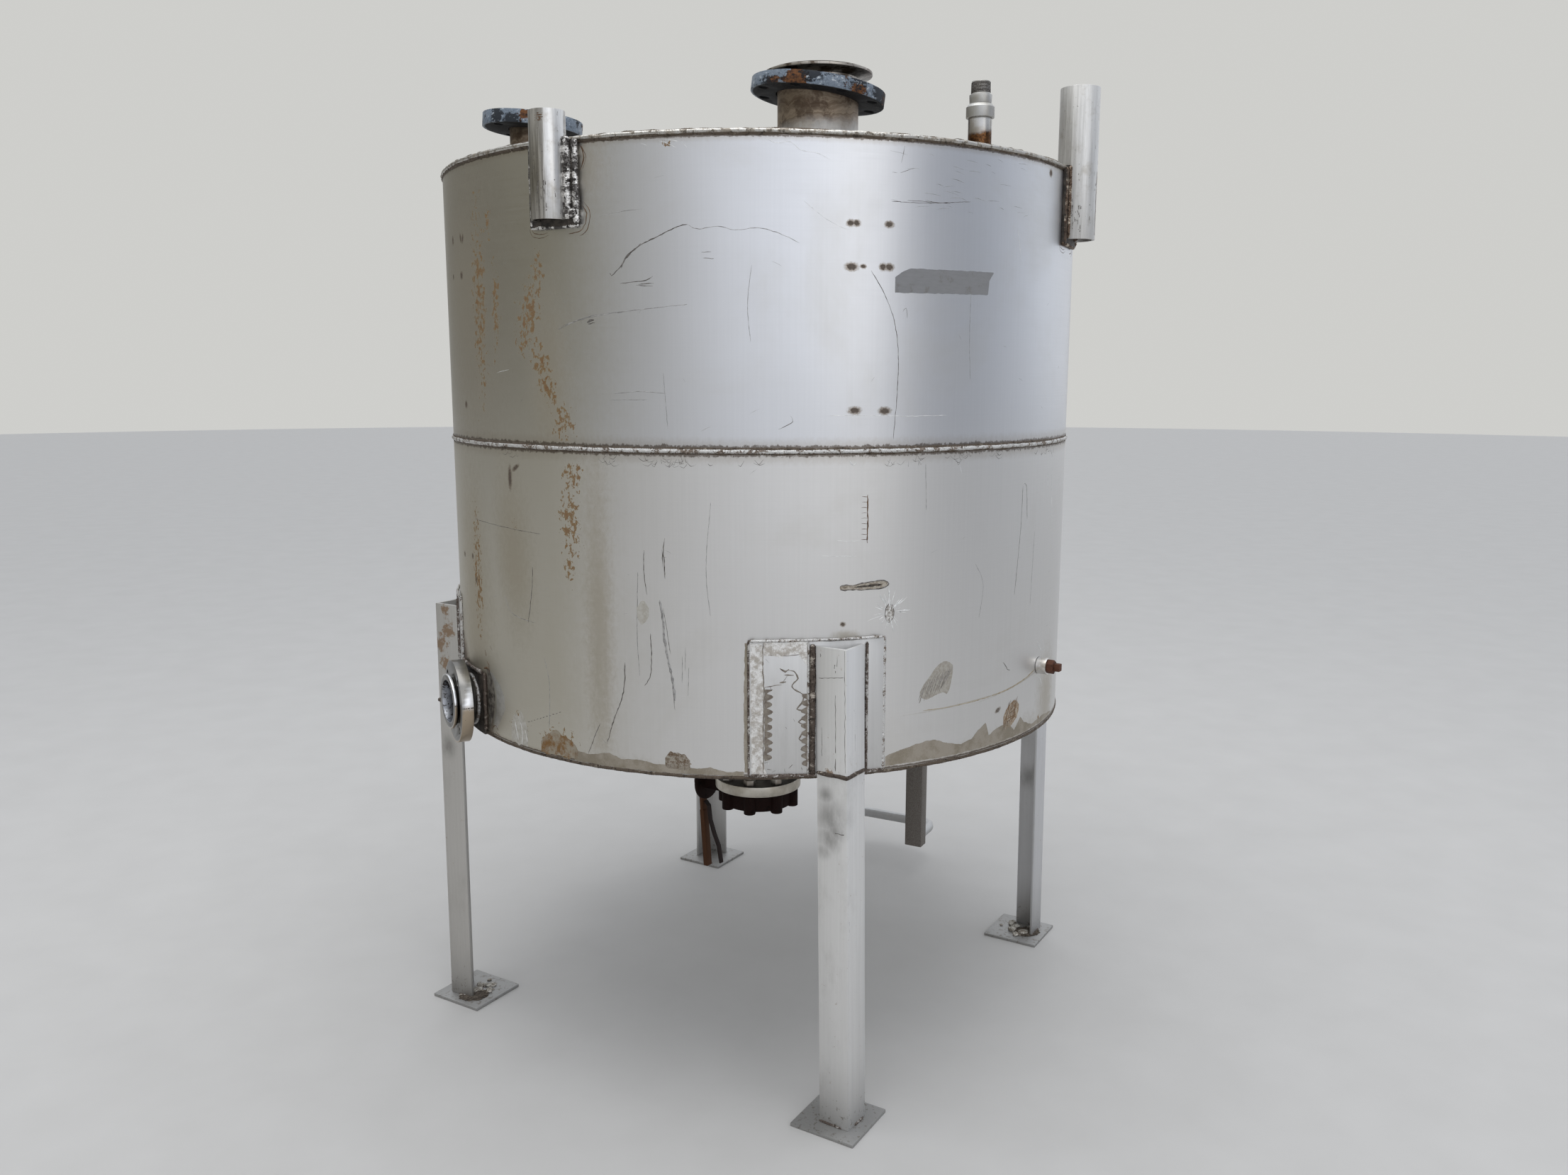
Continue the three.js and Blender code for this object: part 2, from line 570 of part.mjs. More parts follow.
const leverGrip = leverBar(LEVER_GRIP_THICK, LEVER_GRIP_FROM, LEVER_LENGTH);
const hubHole = turnedAlongX([
  [0, hubFrom - 5],
  [STEM_RADIUS + GAP, hubFrom - 5],
  [STEM_RADIUS + GAP, hubTo + 5],
  [0, hubTo + 5],
], 24);
addPiece("valve_lever", cut(join(leverArm, leverGrip, leverHub), hubHole), rustyIron, valve);

// Squeeze trigger between the lever and the valve body, splayed away from the grip.
const triggerBack = TRIGGER_LINE.map(([x, z]) => [x + TRIGGER_THICK, z]).reverse();
addPiece("lever_trigger", flatBar([...TRIGGER_LINE, ...triggerBack], TRIGGER_WIDTH), rustyIron, valve);

// Ladder: two angle-iron stiles against the shell and rungs bent from tube, with their ends on the stiles.
const ladder = placedAt(LADDER_AZIMUTH);
[["left", -1], ["right", 1]].forEach(([side, sign]) => {
  const outline = [
    [LADDER_PLANE, STILE_HEEL],
    [LADDER_PLANE, STILE_HEEL - STILE_FACE],
    [LADDER_PLANE + STILE_THICK, STILE_HEEL - STILE_FACE],
    [LADDER_PLANE + STILE_THICK, STILE_HEEL - STILE_THICK],
    [LADDER_PLANE + STILE_SIDE, STILE_HEEL - STILE_THICK],
    [LADDER_PLANE + STILE_SIDE, STILE_HEEL],
  ].map(([x, y]) => [x, y * sign]);
  addPiece(`ladder_stile_${side}`, slab(outline, STILE_FOOT, STILE_TOP), ladderSteel, ladder);
});

function bentRung() {
  const wallEnd = LADDER_PLANE + STILE_THICK;
  const bar = LADDER_PLANE + RUNG_STANDOFF;
  const half = LADDER_HALF_WIDTH;
  const route = [
    [wallEnd, half],
    [bar - RUNG_BEND, half],
    [bar, half],
    [bar, half - RUNG_BEND],
    [bar, RUNG_BEND - half],
    [bar, -half],
    [bar - RUNG_BEND, -half],
    [wallEnd, -half],
  ].map(([x, y]) => new THREE.Vector3(x, y, 0));
  const path = new THREE.CurvePath();
  path.add(new THREE.LineCurve3(route[0], route[1]));
  path.add(new THREE.QuadraticBezierCurve3(route[1], route[2], route[3]));
  path.add(new THREE.LineCurve3(route[3], route[4]));
  path.add(new THREE.QuadraticBezierCurve3(route[4], route[5], route[6]));
  path.add(new THREE.LineCurve3(route[6], route[7]));
  const tube = new THREE.Shape().absarc(0, 0, RUNG_RADIUS, 0, 2 * Math.PI);
  tube.holes.push(new THREE.Path().absarc(0, 0, RUNG_RADIUS - RUNG_WALL, 0, 2 * Math.PI));
  const options = { steps: 30, curveSegments: 6, bevelEnabled: false, extrudePath: path };
  return new THREE.ExtrudeGeometry(tube, options);
}
for (let rung = 0; rung < RUNG_COUNT; rung += 1) {
  const piece = addPiece(`ladder_rung_${rung + 1}`, bentRung(), ladderSteel, ladder);
  piece.position.z = RUNG_FIRST_Z + rung * RUNG_PITCH;
}

export default tank;
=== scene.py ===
"""Vertical storage tank: the finished look of the tank and its legs, laid over the CAD solids."""

import math
import random

import bpy
from mathutils import Euler, Matrix, Vector


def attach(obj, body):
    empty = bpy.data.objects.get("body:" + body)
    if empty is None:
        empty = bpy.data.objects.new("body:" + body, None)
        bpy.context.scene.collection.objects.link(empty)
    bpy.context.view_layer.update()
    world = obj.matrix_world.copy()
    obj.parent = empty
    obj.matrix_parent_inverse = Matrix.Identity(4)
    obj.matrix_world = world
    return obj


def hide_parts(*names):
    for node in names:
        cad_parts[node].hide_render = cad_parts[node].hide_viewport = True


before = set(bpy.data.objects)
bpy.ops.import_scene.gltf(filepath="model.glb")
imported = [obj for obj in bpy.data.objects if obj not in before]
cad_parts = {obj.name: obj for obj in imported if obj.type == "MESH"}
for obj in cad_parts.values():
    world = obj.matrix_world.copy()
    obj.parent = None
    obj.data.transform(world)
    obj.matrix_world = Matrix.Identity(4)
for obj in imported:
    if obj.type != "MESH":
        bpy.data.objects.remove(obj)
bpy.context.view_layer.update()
scene = bpy.context.scene

# -----------------------------------------------------------------------------
# Camera: it stands left of the front leg, at the height of the upper course, and looks slightly down. Its
# lens and place were fitted to the rim, the girth weld, the base and the outline of the tank.
camera_data = bpy.data.cameras.new("camera")
camera_data.lens = 28.46
camera_data.sensor_width = 36.0
camera = bpy.data.objects.new("camera", camera_data)
camera_place, camera_tilt, camera_swing, camera_roll = (-0.5772, -2.6036, 1.3291), 80.22, -13.57, 0.0015
camera_turn = Euler((math.radians(camera_tilt), 0, math.radians(camera_swing))).to_matrix().to_4x4()
camera.matrix_world = Matrix.Translation(camera_place) @ camera_turn @ Matrix.Rotation(camera_roll, 4, "Z")
scene.collection.objects.link(camera)
scene.camera = camera
scene.view_settings.view_transform = "Standard"

# -----------------------------------------------------------------------------
# Studio: a plain pale floor, a surround that is darker on the left, and one large soft light overhead. None
# of it belongs to the tank. lay_node and Finish lay down its looks, and after them those of the tank.
def lay_node(tree, kind, inputs=(), **settings):
    """Adds a shader node. An input is given a plain value, or another node's output to link to."""
    made = tree.nodes.new("ShaderNode" + kind)
    for key, value in settings.items():
        setattr(made, key, value)
    for key, value in dict(inputs).items():
        if isinstance(value, bpy.types.NodeSocket):
            tree.links.new(value, made.inputs[key])
        else:
            made.inputs[key].default_value = value
    return made


class Finish:
    """The look of one surface: a material whose nodes are laid down one at a time."""

    def __init__(self, name, metallic=0.0, roughness=0.5):
        self.material = bpy.data.materials.new(name)
        self.material.use_nodes = True
        self.tree = self.material.node_tree
        self.shader = self.tree.nodes["Principled BSDF"]
        self.shader.inputs["Metallic"].default_value = metallic
        self.shader.inputs["Roughness"].default_value = roughness
        self.place = self.node("TexCoord").outputs["Object"]

    def node(self, kind, inputs=(), **settings):
        return lay_node(self.tree, kind, inputs, **settings)

    def parts(self, vector):
        """The x, y and z of a vector."""
        return self.node("SeparateXYZ", {0: vector}).outputs

    def calc(self, operation, *values):
        return self.node("Math", enumerate(values), operation=operation).outputs[0]

    def plus(self, *values):
        return self.calc("ADD", *values)

    def less(self, *values):
        return self.calc("SUBTRACT", *values)

    def times(self, *values):
        return self.calc("MULTIPLY", *values)

    def noise(self, at, scale, detail=2.0, rough=0.55, warp=0.0):
        inputs = {"Vector": at, "Scale": scale, "Detail": detail, "Roughness": rough, "Distortion": warp}
        return self.node("TexNoise", inputs).outputs[0]

    def stretched(self, at, scale):
        return self.node("Mapping", {"Vector": at, "Scale": scale}).outputs[0]

    def between(self, value, low, high):
        """0 where value is low, 1 where it is high, and smooth between them."""
        inputs = {"Value": value, "From Min": low, "From Max": high}
        return self.node("MapRange", inputs, interpolation_type="SMOOTHSTEP").outputs[0]

    def scaled(self, share, low, high):
        """low where share is 0, high where it is 1."""
        return self.node("MapRange", {"Value": share, "To Min": low, "To Max": high}).outputs[0]

    def mix(self, share, under, over, most=None):
        """Lays one colour over another by this share, times most where that is given."""
        inputs = {0: share if most is None else self.times(share, most), 6: under, 7: over}
        for key in (6, 7):
            if isinstance(inputs[key], tuple):
                inputs[key] = (*inputs[key], 1.0)
        return self.node("Mix", inputs, data_type="RGBA").outputs[2]

    def bump(self, height, strength, distance, under=None):
        inputs = {"Height": height, "Strength": strength, "Distance": distance}
        if under is not None:
            inputs["Normal"] = under
        return self.node("Bump", inputs).outputs[0]

    def done(self, colour, roughness=None, metallic=None, normal=None):
        sockets = {"Base Color": colour, "Roughness": roughness, "Metallic": metallic, "Normal": normal}
        for key, value in sockets.items():
            if value is not None:
                self.tree.links.new(value, self.shader.inputs[key])
        return self.material


bpy.ops.mesh.primitive_circle_add(vertices=96, radius=30.0, fill_type="NGON")
floor = bpy.context.object
floor.name = "floor"
floor_look = Finish("pale_floor", roughness=0.75)
floor_mottle = floor_look.noise(floor_look.place, 6.0, 6.0)
floor_colour = floor_look.mix(floor_mottle, (0.47, 0.46, 0.445), (0.53, 0.52, 0.505))
floor.data.materials.append(floor_look.done(floor_colour))

world = bpy.data.worlds.new("surround")
scene.world = world
world.use_nodes = True
sky = world.node_tree
direction = lay_node(sky, "TexCoord").outputs["Generated"]
to_right, to_back, rise = lay_node(sky, "SeparateXYZ", {0: direction}).outputs
to_front = lay_node(sky, "Math", {0: to_back, 1: -1.0}, operation="MULTIPLY").outputs[0]
bearing = lay_node(sky, "Math", {0: to_right, 1: to_front}, operation="ARCTAN2").outputs[0]
bearing = lay_node(sky, "MapRange", {"Value": bearing, "From Min": -math.pi, "From Max": math.pi}).outputs[0]
panorama = lay_node(sky, "ValToRGB", {0: bearing})
# What the bare metal mirrors, by bearing in degrees: 0 is in front of the tank and -90 on its left.
SURROUND = {
    -180: (0.62, 0.63, 0.64), -160: (0.26, 0.255, 0.235), -135: (0.13, 0.12, 0.09),
    -112: (0.17, 0.156, 0.115), -84: (0.235, 0.22, 0.165), -62: (0.29, 0.275, 0.225), -42: (0.56, 0.56, 0.56),
    -24: (1.00, 1.03, 1.10), 4: (1.30, 1.35, 1.46), 26: (1.90, 1.90, 1.90), 34: (0.76, 0.78, 0.84),
    44: (0.28, 0.30, 0.35), 64: (0.29, 0.32, 0.38), 86: (0.62, 0.66, 0.74), 112: (0.95, 1.00, 1.08),
    142: (0.75, 0.76, 0.78), 180: (0.62, 0.63, 0.64),
}
stops = panorama.color_ramp.elements
stops[0].color = stops[1].color = (*SURROUND[180], 1.0)
for azimuth, colour in SURROUND.items():
    if abs(azimuth) < 180:
        stops.new((azimuth + 180) / 360).color = (*colour, 1.0)
upward = lay_node(sky, "MapRange", {"Value": rise, "From Min": 0.15, "From Max": 0.75}).outputs[0]
overhead, backdrop = (0.98, 1.02, 1.08, 1), (0.62, 0.62, 0.60, 1)
mirrored = lay_node(sky, "Mix", {0: upward, 6: panorama.outputs[0], 7: overhead}, data_type="RGBA").outputs[2]
seen = lay_node(sky, "LightPath").outputs["Is Camera Ray"]
surround = lay_node(sky, "Mix", {0: seen, 6: mirrored, 7: backdrop}, data_type="RGBA").outputs[2]
sky.links.new(surround, sky.nodes["Background"].inputs["Color"])

# One large soft light overhead firms up the shadow under the tank.
top_box = bpy.data.lights.new("top_box", "AREA")
top_box.size, top_box.energy = 4.0, 90.0
top_box_stand = bpy.data.objects.new("top_box", top_box)
top_box_stand.location = (-0.4, -0.8, 5.0)
scene.collection.objects.link(top_box_stand)

# -----------------------------------------------------------------------------
# Shell: two courses of 5 mm stainless sheet, rolled and welded, each in a front and a back half, as in
# CAD. The sheet is finely brushed both ways, painted darker olive-brown on the left, partly a brown film
# and partly painted shade, rusty in spots, and burnt at the places where brackets were cut off.
TANK_RADIUS = 0.635
SHELL_WALL = 0.005
SHELL_FOOT, GIRTH_Z, RIM_Z, ROOF_TOP = 0.652, 1.204, 1.700, 1.708


def nearest(look, around, up, marks):
    """How far a point is from the nearest mark, as a share of that mark's half size. A mark is its azimuth in
    degrees, its height, half width and half height in mm, and its turn in degrees. The share found so far is
    handed on as a third coordinate, too small to count, which keeps the marks in one chain."""
    found = 0.0
    for azimuth, height, wide, high, turn in marks:
        inputs = {
            "Vector": look.node("CombineXYZ", {0: around, 1: up, 2: found}).outputs[0],
            "Location": (math.radians(azimuth) * TANK_RADIUS, height / 1000, 0),
            "Rotation": (0, 0, math.radians(turn)),
            "Scale": (wide / 1000, high / 1000, 1e6),
        }
        local = look.node("Mapping", inputs, vector_type="TEXTURE").outputs[0]
        far = look.node("VectorMath", {0: local}, operation="LENGTH").outputs["Value"]
        found = look.calc("MINIMUM", far, found if found else 9.0)
    return found


def toned(colour, share):
    """A colour made darker, or a little lighter."""
    return tuple(c * share for c in colour)


def stainless_sheet(name, tone, roughness, burns, rust, grime):
    """Brushed sheet of one course, with weld burns, flecks of rust and a brown film at the places given."""
    look = Finish(name, metallic=1.0)
    x, y, z = look.parts(look.place)
    angle = look.calc("ARCTAN2", x, look.times(y, -1.0))
    around = look.times(angle, TANK_RADIUS)  # metres round from the front leg
    sheet = look.node("CombineXYZ", {0: around, 1: z}).outputs[0]
    upright = look.noise(look.stretched(sheet, (230, 3, 1)), 1.0, 4.0, 0.7)
    across = look.noise(look.stretched(sheet, (6, 420, 1)), 1.0, 3.0, 0.7)
    cloud = look.noise(look.place, 3.1, 5.0, 0.65, 0.5)
    ragged = look.noise(sheet, 260.0, 4.0, 0.7)
    islands = look.noise(look.stretched(sheet, (105, 72, 1)), 1.0, 6.0, 0.70, 0.3)
    # The sheet itself: brush lines, slow clouds and run marks.
    light = toned(tone, 1.01)
    shade = toned(tone, 0.975)
    colour = look.mix(look.between(upright, 0.25, 0.75), shade, light)
    colour = look.mix(look.between(across, 0.35, 0.75), colour, shade, 0.5)
    colour = look.mix(look.between(cloud, 0.46, 0.70), colour, (0.52, 0.50, 0.45), 0.26)
    # Painted shade: the left side of the tank is darkened to olive-brown, partly a brown film and partly
    # standing in for the shade on that side.
    left = look.between(look.plus(around, look.scaled(islands, -0.04, 0.04)), -0.34, -0.54)
    left = look.times(left, look.between(around, -1.75, -1.15))
    colour = look.mix(left, colour, (0.44, 0.405, 0.31), 0.62)
    rough = look.plus(
        look.scaled(across, roughness - 0.05, roughness + 0.07), look.scaled(cloud, -0.05, 0.09)
    )
    # Brown film, ragged at its edges.
    film = look.plus(nearest(look, around, z, grime), look.scaled(islands, -0.6, 0.6))
    film = look.between(film, 1.35, 0.1)
    colour = look.mix(film, colour, (0.37, 0.325, 0.245), 0.55)
    rough = look.plus(rough, look.times(film, 0.16))
    # Heat bands beside the girth weld, the rim and the bottom edge.
    wander = look.plus(look.scaled(islands, -0.7, 0.7), look.scaled(ragged, -0.3, 0.3))
    for middle, reach in ((GIRTH_Z, 0.012), (RIM_Z, 0.006), (SHELL_FOOT, 0.004)):
        off = look.calc("DIVIDE", look.calc("ABSOLUTE", look.less(z, middle)), reach)
        edge = look.plus(off, wander)
        colour = look.mix(look.between(edge, 2.2, 0.7), colour, (0.36, 0.31, 0.25), 0.35)
        colour = look.mix(look.between(edge, 0.85, 0.6), colour, (0.10, 0.075, 0.055), 0.8)
    # Weld burns: a dark core and a brown halo.
    burn = look.plus(nearest(look, around, z, burns), look.scaled(ragged, -0.8, 0.8))
    colour = look.mix(look.between(burn, 1.9, 1.0), colour, (0.23, 0.185, 0.14), 0.8)
    core = look.between(burn, 1.1, 0.75)
    colour = look.mix(core, colour, look.mix(ragged, (0.02, 0.015, 0.012), (0.16, 0.12, 0.09)), 0.9)
    # Rust: flecks like islands, thickest in the middle of each patch.
    shore = look.scaled(look.between(nearest(look, around, z, rust), 0.1, 1.6), 0.490, 0.79)
    level = look.less(look.plus(islands, look.scaled(ragged, -0.10, 0.10)), shore)
    rusty = look.between(level, 0.0, 0.015)
    rust_colour = look.mix(look.between(level, 0.015, 0.09), (0.165, 0.098, 0.028), (0.15, 0.062, 0.013))
    rust_colour = look.mix(look.between(ragged, 0.4, 0.7), rust_colour, (0.24, 0.16, 0.055), 0.7)
    colour = look.mix(rusty, colour, rust_colour, 0.92)
    spoilt = look.calc("MAXIMUM", rusty, look.times(core, 0.8))
    rough = look.plus(rough, look.times(spoilt, 0.4))
    metal = look.scaled(spoilt, 1.0, 0.1)
    normal = look.bump(look.noise(look.place, 3.2, 1.0), 0.25, 0.012)
    normal = look.bump(look.plus(upright, across), 0.012, 0.0004, normal)
    return look.done(colour, rough, metal, normal)


def flush(piece, finish, body, slot, *nodes):
    """Gives a piece its look, its body and the CAD nodes that it stands for. slot, its finish in the record,
    is not used.
    """
    piece.data.materials.clear()
    piece.data.materials.append(finish)
    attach(piece, body)
    if nodes:
        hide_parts(*nodes)
    return piece


def only(piece):
    """Makes this object the one that operators act on."""
    bpy.ops.object.select_all(action="DESELECT")
    piece.select_set(True)
    bpy.context.view_layer.objects.active = piece


def modify(piece, kind, **settings):
    """Gives the piece a modifier with these settings and applies it."""
    modifier = piece.modifiers.new(kind.lower(), kind)
    for key, value in settings.items():
        setattr(modifier, key, value)
    only(piece)
    bpy.ops.object.modifier_apply(modifier=modifier.name)


def edit_mesh(piece, *steps):
    """Runs these operators on the whole mesh of the piece, each given with its settings."""
    only(piece)
    bpy.ops.object.mode_set(mode="EDIT")
    bpy.ops.mesh.select_all(action="SELECT")
    for step, settings in steps:
        step(**settings)
    bpy.ops.object.mode_set(mode="OBJECT")


def smooth(piece, degrees=30):
    """Shades the piece smooth, except across edges sharper than this."""
    only(piece)
    bpy.ops.object.shade_smooth_by_angle(angle=math.radians(degrees))


def cut_away(piece, cutters):
    """Takes the cutters out of the piece."""
    for cutter in cutters:
        modify(piece, "BOOLEAN", operation="DIFFERENCE", object=cutter, solver="EXACT")
        bpy.data.objects.remove(cutter)


def rod_cutter(radius, start, end):
    """A round bar from start to end, to cut a hole with."""
    start, end = Vector(start), Vector(end)
    bpy.ops.mesh.primitive_cylinder_add(vertices=64, radius=radius, depth=(end - start).length)
    bar = bpy.context.object
    turn = (end - start).to_track_quat("Z", "Y").to_matrix().to_4x4()
    bar.matrix_world = Matrix.Translation((start + end) / 2) @ turn
    bpy.context.view_layer.update()
    return bar


def cylinder(name, sides, radius, foot, top, ends="NGON"):
    """An upright cylinder round the tank's axis."""
    bpy.ops.mesh.primitive_cylinder_add(
        vertices=sides, radius=radius, depth=top - foot, end_fill_type=ends, location=(0, 0, (foot + top) / 2)
    )
    made = bpy.context.object
    made.name = made.data.name = name
    bpy.ops.object.transform_apply()
    return made


ROUND_SIDES = 384  # facets of the shell and the plates


def rolled_half(name, foot, top, front, cutters=()):
    """Half a course: a rolled sheet with its outside at the tank's radius, cut along the middle plane."""
    half = cylinder(name, ROUND_SIDES, TANK_RADIUS, foot, top, "NOTHING")
    middle = {"plane_co": (0, 0, 0), "plane_no": (0, 1, 0), "clear_outer": front, "clear_inner": not front}
    edit_mesh(half, (bpy.ops.mesh.bisect, middle))
    modify(half, "SOLIDIFY", thickness=SHELL_WALL, offset=-1.0)
    cut_away(half, cutters)
    smooth(half)
    return half


def polar(radius, azimuth, height=0.0):
    """The point at this radius, azimuth in degrees and height."""
    turn = math.radians(azimuth)
    return Vector((radius * math.sin(turn), -radius * math.cos(turn), height))


upper_burns = [
    (0.6, 1567, 5, 4, 0), (1.5, 1567, 5, 4, 0), (6.6, 1567, 6, 4, 0), (0.8, 1499, 8, 5, 0),
    (2.6, 1500, 4, 2.6, 0), (5.7, 1500, 5, 4.5, 0), (6.7, 1500, 6, 4.5, 0), (1.5, 1270, 8, 4.6, 0),
    (6.3, 1269, 8, 4.6, 0), (-76.7, 1572, 4, 6, 0), (-71.9, 1572, 3, 6, 20), (-70.9, 1570, 3, 6, -20),
    (-77.4, 1507, 3, 4, 0), (-72.2, 1506, 5, 5, 0), (-72.5, 1272, 5, 5, 0), (42.4, 1684, 5, 5, 0),
]
upper_rust = [
    (-64.9, 1450, 40, 260, 0), (-64.4, 1519, 30, 54, 0), (-64.8, 1415, 24, 60, 0), (-59.5, 1440, 20, 130, 0),
    (-51.0, 1430, 44, 110, -14), (-48.5, 1340, 36, 90, 14), (-47.0, 1300, 26, 44, 0),
    (-44.4, 1245, 40, 50, 0), (-52.6, 1378, 28, 30, 0), (-48.6, 1500, 18, 60, 0), (-26, 1688, 14, 12, 0),
    (-61, 1590, 14, 40, 0),
]
upper_grime = [
    (-70, 1450, 150, 330, 0), (-47, 1330, 50, 170, 0), (-40, 1660, 60, 60, 0), (70, 1400, 120, 260, 0),
]
lower_burns = [
    (0.0, 913, 3.4, 3, 0), (0.3, 975, 4, 3, 0), (-77.7, 983, 4, 4, 0), (-72.4, 986, 4, 4, 0),
    (-71.0, 943, 4, 6, 0), (30.8, 719, 6, 3, 20), (-57.2, 1146, 4, 15, 0), (-55.6, 1165, 8, 3, 30),
    (-83, 760, 40, 34, 0), (-66.8, 705, 8, 50, 0),
]
lower_rust = [
    (-43.1, 1155, 34, 44, 0), (-44.5, 1089, 30, 40, 0), (-43.4, 1052, 24, 26, 0), (-43.9, 998, 22, 34, 0),
    (-43.5, 1080, 34, 130, 0), (-56.4, 1063, 14, 16, 0), (-70.0, 960, 34, 200, 0), (-47.5, 678, 66, 46, 0),
    (-46.5, 664, 44, 30, 0), (-57, 690, 44, 40, 0), (-25.2, 672, 28, 18, 0), (46, 665, 16, 24, 0),
]
lower_grime = [
    (-33, 636, 120, 34, 0), (28, 636, 240, 44, 6), (50, 700, 60, 110, 0), (-38.5, 900, 30, 330, 0),
    (-72, 880, 90, 300, 0), (36, 756, 110, 2.2, 6), (22, 748, 120, 1.8, 2), (0.5, 893, 26, 10, 0),
    (-57, 1010, 60, 160, 4),
]
back_burns = [(150, 1400, 8, 5, 0), (156, 1402, 8, 5, 0), (-160, 1560, 8, 4, 0), (-120, 1330, 7, 5, 0)]
back_rust = [
    (-110, 1400, 30, 120, 4), (160, 1250, 30, 60, 0), (118, 1500, 20, 110, -3), (-150, 1260, 60, 24, 0),
]
back_grime = [(180, 1300, 200, 120, 0), (122, 1600, 90, 130, 0), (-125, 1450, 130, 240, 0)]


def lowered(marks):
    """The same kinds of mark, moved down to the lower course."""
    drop, further = 560, 7
    return [
        (azimuth + further, height - drop, wide, high, turn) for azimuth, height, wide, high, turn in marks
    ]


SIDE_AZIMUTH, SIDE_Z = -74, 0.704
DRAIN_AZIMUTH, DRAIN_Z = 44.7, 0.776
UPPER_LOOK, LOWER_LOOK = ((0.64, 0.645, 0.66), 0.33), ((0.66, 0.65, 0.635), 0.42)
upper_front_sheet = stainless_sheet("brushed_upper_front", *UPPER_LOOK, upper_burns, upper_rust, upper_grime)
lower_front_sheet = stainless_sheet("brushed_lower_front", *LOWER_LOOK, lower_burns, lower_rust, lower_grime)
upper_back_sheet = stainless_sheet("brushed_upper_back", *UPPER_LOOK, back_burns, back_rust, back_grime)
lower_back_sheet = stainless_sheet(
    "brushed_lower_back", *LOWER_LOOK, lowered(back_burns), lowered(back_rust), lowered(back_grime)
)
side_hole = rod_cutter(0.04665, polar(0.55, SIDE_AZIMUTH, SIDE_Z), polar(0.70, SIDE_AZIMUTH, SIDE_Z))
drain_hole = rod_cutter(0.0163, polar(0.55, DRAIN_AZIMUTH, DRAIN_Z), polar(0.70, DRAIN_AZIMUTH, DRAIN_Z))
lower_front = rolled_half("course_lower_front", SHELL_FOOT, GIRTH_Z, True, (side_hole, drain_hole))
flush(lower_front, lower_front_sheet, "tank", "dull_stainless", "shell_lower_front")
lower_back = rolled_half("course_lower_back", SHELL_FOOT, GIRTH_Z, False)
flush(lower_back, lower_back_sheet, "tank", "dull_stainless", "shell_lower_back")
upper_front = rolled_half("course_upper_front", GIRTH_Z, RIM_Z, True)
flush(upper_front, upper_front_sheet, "tank", "dull_stainless", "shell_upper_front")
upper_back = rolled_half("course_upper_back", GIRTH_Z, RIM_Z, False)
flush(upper_back, upper_back_sheet, "tank", "dull_stainless", "shell_upper_back")

# -----------------------------------------------------------------------------
# Scratches, stains and smears: the sheet was knocked, scraped, wire-brushed and wetted. A scratch is a thin
# raised burr, dark where it is old or burnt and bright where it is fresh. A stain, a smear of metal or the
# strip of grey tape is a thin skin on the sheet.
OUTWARDS = (bpy.ops.mesh.normals_make_consistent, {"inside": False})
RIDGE = [
    (0.001, 0), (0.0005, 0.00014), (-0.0005, 0.00014), (-0.001, 0), (-0.0005, -0.0001), (0.0005, -0.0001),
]
CLEARANCE = 0.00003  # how far a burr's foot lies off the sheet


def swept(name, outline, runs, closed=False):
    """An outline drawn along runs of points, each a place and the outline's size there, as one mesh."""
    flat = bpy.data.curves.new(name + "_profile", "CURVE")
    flat.dimensions = "2D"
    edge = flat.splines.new("POLY")
    edge.points.add(len(outline) - 1)
    edge.use_cyclic_u = True
    for knot, (across, over) in zip(edge.points, outline):
        knot.co = (across, over, 0, 1)
    profile = bpy.data.objects.new(name + "_profile", flat)
    scene.collection.objects.link(profile)
    wire = bpy.data.curves.new(name, "CURVE")
    wire.dimensions, wire.twist_mode = "3D", "Z_UP"
    wire.bevel_mode, wire.bevel_object, wire.use_fill_caps = "OBJECT", profile, not closed
    for points in runs:
        run = wire.splines.new("POLY")
        run.points.add(len(points) - 1)
        run.use_cyclic_u = closed
        for knot, (at, size) in zip(run.points, points):
            knot.co = (*at, 1)
            knot.radius = size
    solid = bpy.data.objects.new(name, wire)
    scene.collection.objects.link(solid)
    only(solid)
    bpy.ops.object.convert(target="MESH")
    bpy.data.objects.remove(profile)
    return bpy.context.object


def burr_ribbon(name, paths, finish, wrap):
    """Low ridges of metal, drawn on a flat sheet as points with the half width there, all in metres, and laid
    on the tank by wrap, which turns a place on the sheet and a height above it into a point."""
    ridges = swept(name, RIDGE, [[((x, y, 0), half * 1000) for x, y, half in path] for path in paths])
    for vertex in ridges.data.vertices:
        vertex.co = wrap(*vertex.co)
    edit_mesh(ridges, OUTWARDS)
    bpy.ops.object.shade_smooth()
    return flush(ridges, finish, "tank", "dull_stainless")


def curve_through(a, b, c, d, t):
    """A place between b and c, at this share of the way, on a smooth curve from a to d."""
    bend, twist = 2 * a - 5 * b + 4 * c - d, 3 * b - a - 3 * c + d
    return 0.5 * (2 * b + (c - a) * t + bend * t * t + twist * t ** 3)


